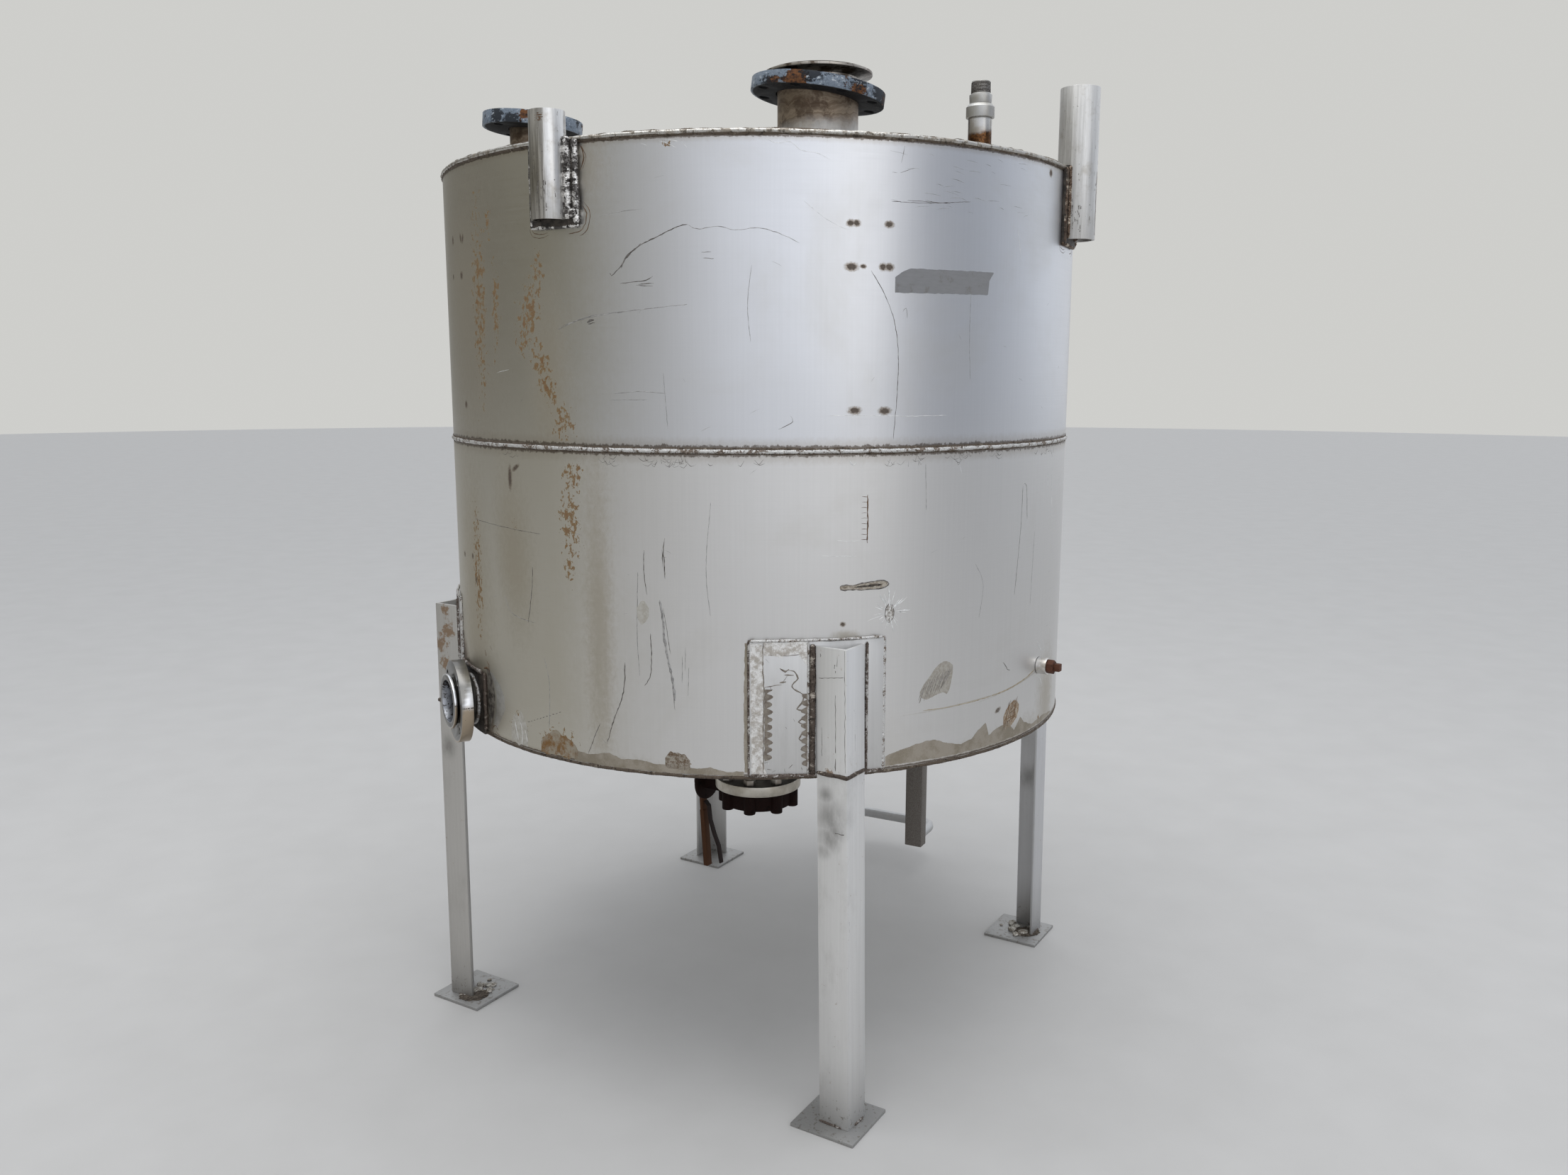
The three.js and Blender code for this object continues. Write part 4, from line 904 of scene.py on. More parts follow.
def up_the_shell(azimuth, radius, foot):
    """Stands a bead that was laid along X up the tank, from foot, with its flat side to the shell."""
    turn = math.radians(azimuth)
    out = Vector((math.sin(turn), -math.cos(turn), 0))
    side = Vector((0, 0, 1)).cross(out)
    axes = Matrix(((0, 0, 1), tuple(side), tuple(out))).transposed().to_4x4()
    return Matrix.Translation(polar(radius, azimuth, foot)) @ axes


def upright_weld(name, azimuth, radius, foot, top, wide, high, finish, seed):
    """A bead that runs up the shell, wide round the tank and high outwards."""
    spine = [(0, 0, 0), (top - foot, 0, 0)]
    return weld_bead(name, spine, high, wide, finish, seed, place=up_the_shell(azimuth, radius, foot))


upright_weld("seam_weld_lower", 180, 0.6352, 0.656, 1.198, 0.0045, 0.0020, bright_weld, 14)
upright_weld("seam_weld_upper", 171, 0.6352, 1.210, 1.698, 0.0045, 0.0020, bright_weld, 15)

# -----------------------------------------------------------------------------
# Legs: four lengths of stainless angle with their heel outwards, each welded to a pad on the shell and
# standing on a square foot plate. The pads are smeared with weld metal and printed by the torch. Two feet
# stand in grit and dirt.
def dressed(node, edge, finish, slot, body="tank"):
    """The node's own shape, with edges rounded by so many mm, as rolling, casting or grinding leaves them."""
    piece = bpy.data.objects.new(node + "_finished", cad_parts[node].data.copy())
    scene.collection.objects.link(piece)
    only(piece)
    bpy.ops.mesh.customdata_custom_splitnormals_clear()
    merge = (bpy.ops.mesh.remove_doubles, {"threshold": 1e-5})
    flatten = (bpy.ops.mesh.dissolve_limited, {"angle_limit": math.radians(1)})
    edit_mesh(piece, merge, flatten)
    modify(piece, "BEVEL", width=edge / 1000, segments=2, limit_method="ANGLE", angle_limit=math.radians(40))
    smooth(piece)
    return flush(piece, finish, body, slot, node)


def close_to(look, marks):
    """1 in the middle of a mark, 0 outside them all. A mark is a point and its radius, in mm."""
    share = 0.0
    for x, y, z, radius in marks:
        inputs = {0: look.place, 1: (x / 1000, y / 1000, z / 1000)}
        far = look.node("VectorMath", inputs, operation="DISTANCE").outputs["Value"]
        share = look.calc("MAXIMUM", share, look.between(far, radius / 1000, 0.0))
    return share


def leg_steel(name, tone, dirt, smudges=(), rust=()):
    """Mill finish of the angle: light, matt, faintly streaked along its length, darker near the floor, and
    spotted with dirt low down.
    """
    look = Finish(name, metallic=0.85)
    z = look.parts(look.place)[2]
    streak = look.noise(look.stretched(look.place, (190, 190, 3)), 1.0, 4.0, 0.65)
    cloud = look.noise(look.stretched(look.place, (11, 11, 5)), 1.0, 6.0, 0.7)
    fine = look.noise(look.place, 700.0, 3.0)
    spots = look.noise(look.place, 110.0, 5.0, 0.7)
    colour = look.mix(look.between(streak, 0.25, 0.75), toned(tone, 0.94), tone)
    colour = look.mix(look.between(cloud, 0.5, 0.8), colour, (0.36, 0.34, 0.31), 0.3)
    # Darker towards the floor, over the lowest 16 cm.
    low = look.between(z, 0.16, 0.0)
    colour = look.mix(low, colour, (0.27, 0.26, 0.245), 0.4)
    stain = look.between(look.plus(spots, look.scaled(low, -0.16, 0.07)), 0.62, 0.70)
    colour = look.mix(stain, colour, (0.16, 0.13, 0.10), dirt)
    if smudges:
        smudge = look.times(close_to(look, smudges), look.between(cloud, 0.30, 0.62))
        colour = look.mix(smudge, colour, (0.15, 0.14, 0.13), 0.65)
    if rust:
        rusty = look.plus(close_to(look, rust), look.scaled(spots, -1.7, 1.3))
        colour = look.mix(look.between(rusty, 0.2, 0.7), colour, (0.27, 0.165, 0.085), 0.8)
    rough = look.scaled(look.between(cloud, 0.3, 0.8), 0.46, 0.60)
    return look.done(colour, rough, None, look.bump(streak, 0.05, 0.0005, look.bump(fine, 0.12, 0.0003)))


def shifted(lines, azimuth):
    """The same lines, that much further round the tank."""
    return [(half, *[(azimuth + around, height) for around, height in points]) for half, *points in lines]


# Azimuth, heel radius at the floor in mm, turn, outward lean and sideways lean in degrees, and shift in mm.
LEG_STANCE = {
    "front": (0.0, 687.3, -2.5, 0.0, 0.8, 3.5),
    "right": (90.0, 693.4, 0.0, 0.5, 0.0, 0.0),
    "back": (180.0, 685.8, 0.0, 0.0, 0.0, 0.0),
    "left": (-90.0, 689.5, 0.0, 0.25, 0.0, 0.0),
}
LEG_WIDTH = 60  # mm, of each flange of the angle


def sideways_at(azimuth):
    """The level direction to the right of someone who faces the tank there."""
    turn = math.radians(azimuth)
    return Vector((math.cos(turn), math.sin(turn), 0))


def on_leg(side, share, height):
    """A point on the leg's outside: share is -1 at its left toe, 0 at its heel and 1 at its right toe."""
    azimuth, heel, turn, outwards, sideways, shift = LEG_STANCE[side]
    swing = math.radians((135 if share > 0 else -135) + turn)
    out = heel - math.tan(math.radians(outwards)) * height + LEG_WIDTH * abs(share) * math.cos(swing)
    along = shift - math.tan(math.radians(sideways)) * height + LEG_WIDTH * abs(share) * math.sin(swing)
    return polar(out / 1000, azimuth, height / 1000) + sideways_at(azimuth) * along / 1000


# A leg's tone, then its smudges and its rust spots, each a point and a radius in mm. The tones differ by
# side as painted light and shade: the front leg is lightest and the left leg darkest.
LEG_MARKS = {
    "front": ((0.78, 0.775, 0.765), [
        (-26, -668, 582, 46), (-30, -664, 545, 34), (-20, -672, 560, 30), (-36, -660, 622, 22),
        (-40, -657, 520, 22),
    ], [(-30, -662, 664, 16)]),
    "right": ((0.63, 0.63, 0.64), [(668, 30, 380, 46)], [(684, -14, 742, 16)]),
    "back": ((0.61, 0.603, 0.59), [(10, 672, 300, 50)], [(-16, 670, 700, 16)]),
    "left": ((0.54, 0.525, 0.50), [(-676, -14, 560, 36), (-668, 20, 480, 40)], [
        (-680, -10, 782, 40), (-664, -26, 812, 34), (-672, -18, 742, 30), (-670, -20, 850, 24),
        (-660, -30, 690, 24),
    ]),
}
pad_look = leg_steel("leg_pad_steel", (0.62, 0.615, 0.605), 0.5)
foot_look = leg_steel("foot_plate_steel", (0.43, 0.43, 0.425), 0.6)
dark_weld = weld_look("unbrushed_weld", (0.50, 0.45, 0.39), (0.055, 0.036, 0.026), 0.58, 0.34, grain=150.0)
PAD_RADIUS, PAD_FOOT, PAD_TOP = 0.640, 0.652, 0.889
burnt_smear = smear_look("burnt_smear", (0.27, 0.24, 0.20), (0.17, 0.14, 0.115), 0.5, 0.55, 110.0)
white_smear = smear_look("white_smear", (0.82, 0.81, 0.79), (0.47, 0.435, 0.39), 1.0, 0.28, 95.0, 0.9)
seam_burr = burr_look("dark_seam", (0.045, 0.036, 0.03), (0.16, 0.13, 0.10), 0.3, 0.6)
for side, (azimuth, *_) in LEG_STANCE.items():
    tone, smudges, rust_spots = LEG_MARKS[side]
    # Painted light and shade: each leg is the same steel, made lighter or darker by its side's tone.
    leg_look_with_side_shade = leg_steel(f"leg_{side}_steel", tone, 0.6, smudges, rust_spots)
    dressed("leg_" + side, 1.2, leg_look_with_side_shade, "leg_stainless")
    dressed("leg_pad_" + side, 0.8, pad_look, "dull_stainless")
    dressed("foot_plate_" + side, 0.7, foot_look, "leg_stainless")
    seed = 20 + round(azimuth) // 90 * 7
    chance = random.Random(seed)
    left_toe, right_toe = (-4.75, 3.75) if side == "front" else (-4.5, 4.15)
    over_pad = ring(0.6405, PAD_TOP, azimuth - 14.3, azimuth + 6.4)
    under_pad = ring(0.6398, 0.6535, azimuth - 14.3, azimuth + 6.6)
    weld_bead("pad_weld_top_" + side, over_pad, 0.0026, 0.0024, bright_weld, seed)
    weld_bead("pad_weld_low_" + side, under_pad, 0.0032, 0.0030, scaly_weld, seed + 1)
    upright_weld(
        "pad_weld_left_" + side, azimuth - 14.4, 0.6372, PAD_FOOT, PAD_TOP, 0.0026, 0.0026, scaly_weld,
        seed + 2
    )
    upright_weld(
        "pad_weld_right_" + side, azimuth + 6.7, 0.6372, PAD_FOOT, PAD_TOP, 0.0040, 0.0032, bright_weld,
        seed + 3
    )
    upright_weld(
        "leg_weld_left_" + side, azimuth + left_toe, 0.6414, 0.655, 0.882, 0.0052, 0.0045, dark_weld, seed + 4
    )
    upright_weld(
        "leg_weld_edge_" + side, azimuth + left_toe - 0.62, 0.6398, 0.655, 0.886, 0.0022, 0.0020, bright_weld,
        seed + 6
    )
    upright_weld(
        "leg_weld_right_" + side, azimuth + right_toe, 0.6414, 0.655, 0.882, 0.0028, 0.0036, scaly_weld,
        seed + 5
    )
    around_leg = [on_leg(side, share / 6, 659) for share in range(-6, 7)]
    weld_bead("leg_weld_low_" + side, around_leg, 0.0040, 0.0032, dark_weld, seed + 8)
    for k, (part, first, last) in enumerate((("left", -8, -2), ("right", 3, 7))):
        toe = [on_leg(side, share / 8, 7.5) for share in range(first, last + 1)]
        weld_bead(f"foot_weld_{part}_{side}", toe, 0.0022, 0.0022, scaly_weld, seed + 9 + k)
    # The pad was tacked, scraped and burnt: a smeared band, and torch prints beside both upright welds.
    film("pad_smear_" + side, [
        (656, azimuth - 14.1, azimuth - 11.6), (676, azimuth - 14.1, azimuth - 12.2),
        (884, azimuth - 14.1, azimuth - 12.3),
    ], white_smear, 1.4, seed, True, PAD_RADIUS)
    film("pad_scuff_" + side, [
        (azimuth - 12.1, 864, 886), (azimuth - 9.5, 861, 886), (azimuth - 7.0, 866, 886),
        (azimuth - 5.6, 848, 886),
    ], white_smear, 2.0, seed + 1, False, PAD_RADIUS)
    scallop, rise = (0.0, 0.8, 1.0, 0.8), 3.3
    prints = [
        (680 + rise * k, azimuth - 12.05, azimuth - 11.8 + 1.1 * scallop[k % 4] - chance.uniform(0, 0.15))
        for k in range(39)
    ]
    film("torch_prints_left_" + side, prints, burnt_smear, 0.8, seed + 2, True, PAD_RADIUS)
    prints = [
        (668 + rise * k, azimuth - 5.4 - scallop[k % 4] - chance.uniform(0, 0.15), azimuth - 5.1)
        for k in range(40)
    ]
    film("torch_prints_right_" + side, prints, burnt_smear, 0.8, seed + 3, True, PAD_RADIUS)
    scribbles = shifted([
        (1.1, (-12.2, 656), (-12.25, 720), (-12.1, 790), (-12.3, 850), (-12.2, 886)),
        (0.7, (-12.1, 866), (-9, 863), (-6, 866)),
        (1.3, (-8.6, 838), (-7.6, 836), (-7.0, 824), (-7.9, 809), (-6.3, 796), (-6.2, 784), (-7.1, 770),
         (-5.7, 768)),
        (2.0, (-9.7, 842), (-8.9, 836), (-8.3, 840)), (1.8, (-9.0, 830), (-7.6, 829)),
        (0.6, (-8.5, 830), (-9.2, 819)), (2.3, (-9.7, 817), (-8.8, 818)),
        (0.9, (-9.4, 813), (-11.2, 811), (-12.1, 808)), (1.2, (-5.5, 757), (-6.9, 748), (-5.6, 742)),
        (1.2, (-5.4, 738), (-6.8, 718), (-5.5, 714)), (1.2, (-5.4, 709), (-6.5, 699), (-5.4, 694)),
        (0.5, (-8.9, 740), (-8.6, 736)), (0.5, (-7.7, 754), (-7.4, 748)),
    ], azimuth)
    burrs(
        "torch_scribbles_" + side, scribbles, burnt_smear if side == "front" else seam_burr, seed + 4, 0.7,
        PAD_RADIUS
    )
    strokes = []
    for k in range(46):
        if k % 3:
            start = (azimuth - chance.uniform(11.0, 14.0), 656 + 232 * chance.random() ** 1.6)
        else:
            where = azimuth - chance.uniform(5.6, 11.5)
            start = (where, chance.choice((chance.uniform(864, 884), chance.uniform(657, 668))))
        end = (start[0] + chance.uniform(-0.7, 0.7), start[1] + chance.uniform(-9, 9))
        strokes.append((chance.uniform(0.3, 0.8), start, end))
    burrs("pad_scrapes_bright_" + side, strokes[:30], pale_burr, seed + 5, 0.7, PAD_RADIUS)
    burrs("pad_scrapes_dark_" + side, strokes[30:], seam_burr, seed + 6, 0.7, PAD_RADIUS)


def grit(name, side, count, seed):
    """Bits of stone and dirt left lying on a foot plate."""
    chance = random.Random(seed)
    azimuth, plate_top, large = LEG_STANCE[side][0], 0.0065, 6
    stones = []
    for k in range(count):
        size = chance.uniform(0.0070, 0.0105) if k < large else chance.uniform(0.0012, 0.0048)
        bpy.ops.mesh.primitive_ico_sphere_add(subdivisions=2, radius=size)
        stone = bpy.context.object
        squash = (chance.uniform(0.8, 1.5), chance.uniform(0.8, 1.3), chance.uniform(0.35, 0.7))
        spot = polar(
            chance.uniform(0.602, 0.642 if k < large else 0.672), azimuth, plate_top + size * squash[2] * 0.6
        )
        spot += sideways_at(azimuth) * chance.uniform(-0.035, 0.035)
        for vertex in stone.data.vertices:
            vertex.co = Vector(a * b for a, b in zip(vertex.co * chance.uniform(0.82, 1.1), squash)) + spot
        stones.append(stone)
    only(stones[0])
    for stone in stones:
        stone.select_set(True)
    bpy.ops.object.join()
    heap = stones[0]
    heap.name = heap.data.name = name
    smooth(heap, 40)
    return flush(heap, grit_look, "tank", "leg_stainless")


def dirt(name, centre, seed):
    """A low heap of damp dirt at the foot of a leg."""
    chance = random.Random(seed)
    bpy.ops.mesh.primitive_ico_sphere_add(subdivisions=4, radius=0.024)
    heap = bpy.context.object
    heap.name = heap.data.name = name
    for vertex in heap.data.vertices:
        x, y, z = vertex.co * chance.uniform(0.86, 1.14)
        vertex.co = Vector((x * 1.25, y, max(z, 0.0) * 0.22)) + Vector(centre)
    edit_mesh(heap, OUTWARDS)
    damp = smear_look(name + "_look", (0.055, 0.043, 0.033), (0.11, 0.09, 0.07), 0.0, 0.9, 240.0, 0.6)
    return flush(heap, damp, "tank", "leg_stainless")


grit_look = smear_look("foot_grit", (0.55, 0.53, 0.48), (0.16, 0.13, 0.10), 0.0, 0.8, 130.0)
grit("grit_left", "left", 34, 91)
grit("grit_right", "right", 26, 92)
dirt("dirt_left", (-0.642, -0.030, 0.0062), 93)
dirt("dirt_right", (0.648, -0.020, 0.0062), 94)

# Marks on the front leg: a crack-like scratch across its left face and dark drag marks down it.
drags = []
for share, top, foot, half in (
    (-0.35, 842, 838, 0.5), (-0.36, 800, 700, 0.45), (-0.37, 690, 668, 0.8), (-0.82, 740, 690, 0.35),
    (-0.05, 878, 668, 0.4), (0.42, 800, 770, 0.35), (0.46, 730, 700, 0.35), (-0.30, 868, 850, 0.4),
    (0.12, 400, 380, 0.4), (-0.84, 868, 862, 0.8), (-0.38, 852, 846, 0.9),
):
    steps = max(2, round((top - foot) / 8))
    drag = []
    for k in range(steps + 1):
        across = 0.06 * (share + chance.uniform(-0.012, 0.012))
        height = (top + (foot - top) * k / steps) / 1000
        drag.append((across, height, half / 1000 * chance.uniform(0.2, 1.3)))
    drags.append(drag)
drags.append([
    (0.006 * k, 0.833 + 0.0009 * k + 0.0006 * (k % 2), 0.0005 * chance.uniform(0.6, 1.2))
    for k in range(-9, 0)
])
drags.append([(0.006 * k, 0.557 + 0.001 * (k % 2), 0.0007 * chance.uniform(0.5, 1.3)) for k in range(-4, 0)])


def on_front_leg(x, y, z):
    """Wraps a flat sheet round the front leg, with its middle on the heel."""
    return on_leg("front", x / 0.06, y * 1000) + polar(z + CLEARANCE, 45 if x > 0 else -45)


burr_ribbon("leg_drag_marks", drags, dark_burr, on_front_leg)

# -----------------------------------------------------------------------------
# Side nozzle: a flared stainless pipe, welded through a curved pad low on the left, with a loose turned
# flange behind the flare. The pad and the sheet beside it are scorched.
def turned_steel(name, tone, film_tone, roughness, rust_below=None):
    """Stainless turned on a lathe, filmed brown in patches, pitted, and rusty up to the height given."""
    look = Finish(name, metallic=1.0)
    cloud = look.noise(look.place, 22.0, 4.0, 0.6)
    fine = look.noise(look.place, 900.0, 3.0)
    pits = look.noise(look.place, 210.0, 4.0, 0.7)
    colour = look.mix(look.between(cloud, 0.42, 0.66), tone, film_tone, 0.75)
    colour = look.mix(look.between(pits, 0.66, 0.72), colour, (0.07, 0.055, 0.045))
    if rust_below is not None:
        z = look.parts(look.place)[2]
        height = look.plus(z, look.scaled(cloud, -0.02, 0.02))
        rust = look.mix(look.between(pits, 0.4, 0.6), (0.16, 0.075, 0.03), (0.05, 0.026, 0.015))
        colour = look.mix(look.between(height, rust_below + 0.006, rust_below - 0.004), colour, rust)
    return look.done(
        colour, look.scaled(cloud, roughness - 0.04, roughness + 0.10), None, look.bump(fine, 0.08, 0.0003)
    )


def nozzle_steel(name, rim, pale_edges):
    """Turned stainless of the side nozzle: dark flat faces, and a rim near-white above its middle and tan
    below it.
    """
    look = Finish(name, metallic=1.0)
    middle = tuple(polar(0.668, SIDE_AZIMUTH, SIDE_Z))
    offset = look.node("VectorMath", {0: look.place, 1: middle}, operation="SUBTRACT").outputs[0]
    axis = tuple(polar(1.0, SIDE_AZIMUTH))
    along = look.node("VectorMath", {0: offset, 1: axis}, operation="DOT_PRODUCT").outputs["Value"]
    whole = look.node("VectorMath", {0: offset}, operation="LENGTH").outputs["Value"]
    squares = look.less(look.times(whole, whole), look.times(along, along))
    from_axis = look.calc("SQRT", squares)
    z = look.parts(look.place)[2]
    cloud = look.noise(look.place, 26.0, 4.0, 0.6)
    fine = look.noise(look.place, 900.0, 3.0)
    pits = look.noise(look.place, 190.0, 4.0, 0.7)
    height = look.plus(z, look.scaled(cloud, -0.012, 0.012))
    rim_colour = look.mix(look.between(height, 0.714, 0.698), (0.84, 0.85, 0.87), (0.42, 0.345, 0.26))
    crack = look.between(look.calc("ABSOLUTE", look.less(z, 0.706)), 0.0016, 0.0004)
    rim_colour = look.mix(look.times(crack, look.between(pits, 0.42, 0.50)), rim_colour, (0.03, 0.025, 0.02))
    face_colour = look.mix(look.between(cloud, 0.4, 0.65), (0.10, 0.096, 0.088), (0.17, 0.16, 0.14))
    bore = look.between(from_axis, 0.0435, 0.0420)
    deposit = look.between(look.plus(pits, look.scaled(look.between(z, 0.71, 0.74), 0.0, 0.16)), 0.56, 0.62)
    face_colour = look.mix(bore, face_colour, look.mix(deposit, (0.34, 0.35, 0.37), (0.05, 0.042, 0.035)))
    edge = look.between(from_axis, rim - 0.0045, rim - 0.0005)
    face_colour = look.mix(edge, face_colour, (0.60, 0.59, 0.57), pale_edges)
    colour = look.mix(look.between(from_axis, rim - 0.0012, rim - 0.0004), face_colour, rim_colour)
    colour = look.mix(look.between(pits, 0.66, 0.71), colour, (0.05, 0.042, 0.035))
    return look.done(colour, look.scaled(cloud, 0.24, 0.36), None, look.bump(fine, 0.08, 0.0003))


bright_look = turned_steel("turned_stainless", (0.72, 0.71, 0.69), (0.44, 0.39, 0.32), 0.24)
# Near-black: the side nozzle's pad is scorched, and the same look on the socket plates is painted shade.
scorch_and_shade_look = smear_look("scorched_pad_and_shaded_plate", (0.075, 0.062, 0.05), (0.022, 0.018, 0.015), 0.4, 0.5, 60.0)
dressed("side_nozzle_pad", 0.8, scorch_and_shade_look, "dull_stainless")
dressed("side_nozzle_pipe", 0.5, nozzle_steel("lap_ring_steel", 0.0535, 0.8), "bright_stainless")
dressed("side_nozzle_flange", 1.6, nozzle_steel("loose_flange_steel", 0.080, 0.3), "bright_stainless")
weld_bead("side_pad_weld_top", ring(0.6412, 0.767, -80.3, -68.4), 0.0042, 0.0034, scaly_weld, 50)
upright_weld("side_pad_weld_right", -68.1, 0.6385, 0.655, 0.768, 0.0042, 0.0038, dark_weld, 51)
upright_weld("side_pad_weld_left", -80.7, 0.6385, 0.655, 0.768, 0.0042, 0.0038, dark_weld, 52)
swing = Matrix.Rotation(math.radians(SIDE_AZIMUTH - 90), 4, "Z")
standing = Matrix.Rotation(math.radians(90), 4, "Y")
side_axis = Matrix.Translation(polar(0.6420, SIDE_AZIMUTH, SIDE_Z)) @ swing @ standing
side_turns = [math.radians(degrees) for degrees in range(0, 360, 6)]
side_circle = [(0.0465 * math.sin(turn), 0.0465 * math.cos(turn), 0) for turn in side_turns]
weld_bead("side_pipe_weld", side_circle, 0.0038, 0.0042, bright_weld, 53, closed=True, place=side_axis)
scorched_sheet = smear_look("scorched_sheet", (0.22, 0.20, 0.17), (0.045, 0.038, 0.032), 0.6, 0.5, 90.0)
film("side_pad_scorch", [
    (664, -67.6, -67.0), (690, -67.6, -65.4), (730, -67.6, -64.6), (758, -67.6, -65.2), (778, -67.8, -66.6),
], scorched_sheet, 1.2, 54, upright=True)
polished_halo = smear_look("polished_halo", (0.54, 0.53, 0.50), (0.44, 0.425, 0.39), 1.0, 0.40, 60.0)
film("side_pad_halo", [
    (668, -65.6, -64.4), (690, -64.9, -62.6), (712, -64.2, -61.2), (736, -64.2, -61.4), (756, -65.0, -62.8),
    (774, -66.6, -65.6),
], polished_halo, 0.6, 55, upright=True)
burrs("side_pad_rust", [
    (2.4, (-69.0, 774), (-67.4, 778), (-66.4, 772)), (1.6, (-67.6, 792), (-66.6, 784), (-67.0, 776)),
    (1.8, (-68.2, 812), (-67.6, 800)), (1.2, (-66.0, 824), (-65.2, 816)),
    (1.4, (-66.2, 664), (-65.0, 672), (-64.0, 664)), (1.2, (-64.8, 660), (-63.6, 656)),
], rust_burr, 56)

# -----------------------------------------------------------------------------
# Large roof nozzle: a stained stainless pipe with a flared lip, the ragged ring of a gasket on it, and a
# loose flange in chipped blue-grey paint that hangs tilted on the pipe.
def painted_iron(name, centre, middle, radius, rust_at, black_at):
    """Blue-grey paint on the rim, chipped to black and rusted through in patches, on flat faces painted
    near-black as shade.
    """
    look = Finish(name, metallic=0.0)
    centre = (centre.x, centre.y, middle)
    offset = look.node("VectorMath", {0: look.place, 1: centre}, operation="SUBTRACT").outputs[0]
    x, y, _ = look.parts(offset)
    from_axis = look.calc("SQRT", look.plus(look.times(x, x), look.times(y, y)))
    big = look.noise(look.place, 24.0, 5.0, 0.65, 0.3)
    chips = look.noise(look.stretched(look.place, (1, 1, 1.6)), 85.0, 6.0, 0.8)
    fine = look.noise(look.place, 520.0, 3.0, 0.6)
    paint = look.mix(look.between(fine, 0.3, 0.7), (0.12, 0.15, 0.19), (0.20, 0.24, 0.29))
    paint = look.mix(look.between(chips, 0.42, 0.36), paint, (0.50, 0.53, 0.56))
    rust = look.mix(look.between(chips, 0.40, 0.60), (0.16, 0.066, 0.024), (0.035, 0.018, 0.012))
    rust_share = look.times(close_to(look, rust_at), 0.28)
    rusty = look.between(look.plus(look.plus(big, look.scaled(chips, -0.2, 0.2)), rust_share), 0.60, 0.64)
    black_share = look.times(close_to(look, black_at), 0.30)
    black = look.between(look.plus(chips, black_share), 0.575, 0.60)
    colour = look.mix(rusty, paint, rust)
    colour = look.mix(black, colour, (0.012, 0.013, 0.016), 0.9)
    # Painted shade: the flat faces are near-black, for the shaded underside seen from below.
    face = look.between(from_axis, radius - 0.0015, radius - 0.006)
    face_colour = look.mix(look.between(chips, 0.54, 0.66), (0.006, 0.006, 0.007), (0.045, 0.036, 0.03))
    colour = look.mix(face, colour, face_colour)
    rough = look.scaled(look.calc("MAXIMUM", rusty, look.calc("MAXIMUM", black, face)), 0.38, 0.75)
    look.shader.inputs["Specular IOR Level"].default_value = 0.25
    height = look.less(look.times(rusty, look.scaled(fine, 0.3, 1.0)), black)
    return look.done(colour, rough, None, look.bump(height, 0.8, 0.0014))


def stained_metal(name, foot, lip):
    """Stainless pipe stained brown in tide marks, bare and whitish at its foot and bright on its lip."""
    look = Finish(name, metallic=0.85)
    z = look.parts(look.place)[2]
    warp = look.noise(look.place, 11.0, 4.0, 0.6)
    level = look.node("CombineXYZ", {2: look.plus(z, look.scaled(warp, 0.0, 0.10))}).outputs[0]
    tide = look.noise(level, 38.0, 5.0, 0.7)
    patch = look.noise(look.place, 26.0, 5.0, 0.7)
    runs = look.noise(look.stretched(look.place, (120, 120, 9)), 1.0, 4.0, 0.7)
    colour = look.mix(look.between(tide, 0.38, 0.62), (0.14, 0.10, 0.07), (0.34, 0.275, 0.205))
    colour = look.mix(look.between(patch, 0.50, 0.64), colour, (0.07, 0.045, 0.03), 0.7)
    low = look.between(look.plus(z, look.scaled(warp, -0.03, 0.03)), foot + 0.056, foot + 0.022)
    colour = look.mix(look.times(low, look.scaled(runs, 0.5, 1.0)), colour, (0.60, 0.59, 0.57))
    bright = look.between(z, lip - 0.004, lip)
    lip_colour = look.mix(look.between(patch, 0.44, 0.56), (0.40, 0.37, 0.33), (0.10, 0.075, 0.055))
    colour = look.mix(bright, colour, lip_colour)
    rough = look.less(look.scaled(tide, 0.42, 0.62), look.times(bright, 0.22))
    return look.done(colour, rough, None, look.bump(patch, 0.2, 0.001))


painted_look = painted_iron(
    "chipped_paint", roof_nozzle_place, 1.903, 0.1397,
    [
        (48, -100, 1905, 48), (14, -62, 1900, 30), (248, -54, 1888, 40), (170, -118, 1884, 30),
        (126, 156, 1903, 70),
    ],
    [
        (78, -116, 1920, 34), (178, -114, 1912, 30), (236, -72, 1896, 50), (262, -20, 1890, 50),
        (0, -50, 1890, 40), (60, 130, 1903, 60),
    ],
)
stained_look = stained_metal("stained_pipe_metal", 1.797, 1.925)
gasket_look = Finish("torn_gasket", roughness=0.9)
gasket_grain = gasket_look.noise(gasket_look.place, 260.0, 4.0, 0.7)
gasket_colour = gasket_look.mix(gasket_grain, (0.012, 0.010, 0.009), (0.085, 0.065, 0.05))
gasket_look = gasket_look.done(gasket_colour, None, None, gasket_look.bump(gasket_grain, 0.8, 0.001))
dressed("roof_nozzle_pipe", 0.6, stained_look, "stained_pipe")
dressed("roof_nozzle_gasket", 0.4, gasket_look, "gasket")
dressed("roof_nozzle_flange", 2.0, painted_look, "flange_paint")


def ring_weld(name, centre, rise, radius, wide, finish, seed):
    """A bead round the foot of a pipe that stands at the centre, and so far above it."""
    turns = [math.radians(degrees) for degrees in range(0, 360, 6)]
    circle = [(radius * math.cos(turn), radius * math.sin(turn), 0) for turn in turns]
    place = Matrix.Translation((centre.x, centre.y, centre.z + rise))
    return weld_bead(name, circle, wide, wide, finish, seed, closed=True, place=place)


ring_weld("roof_nozzle_weld", roof_nozzle_place, 0.001, 0.0855, 0.0042, scaly_weld, 61)

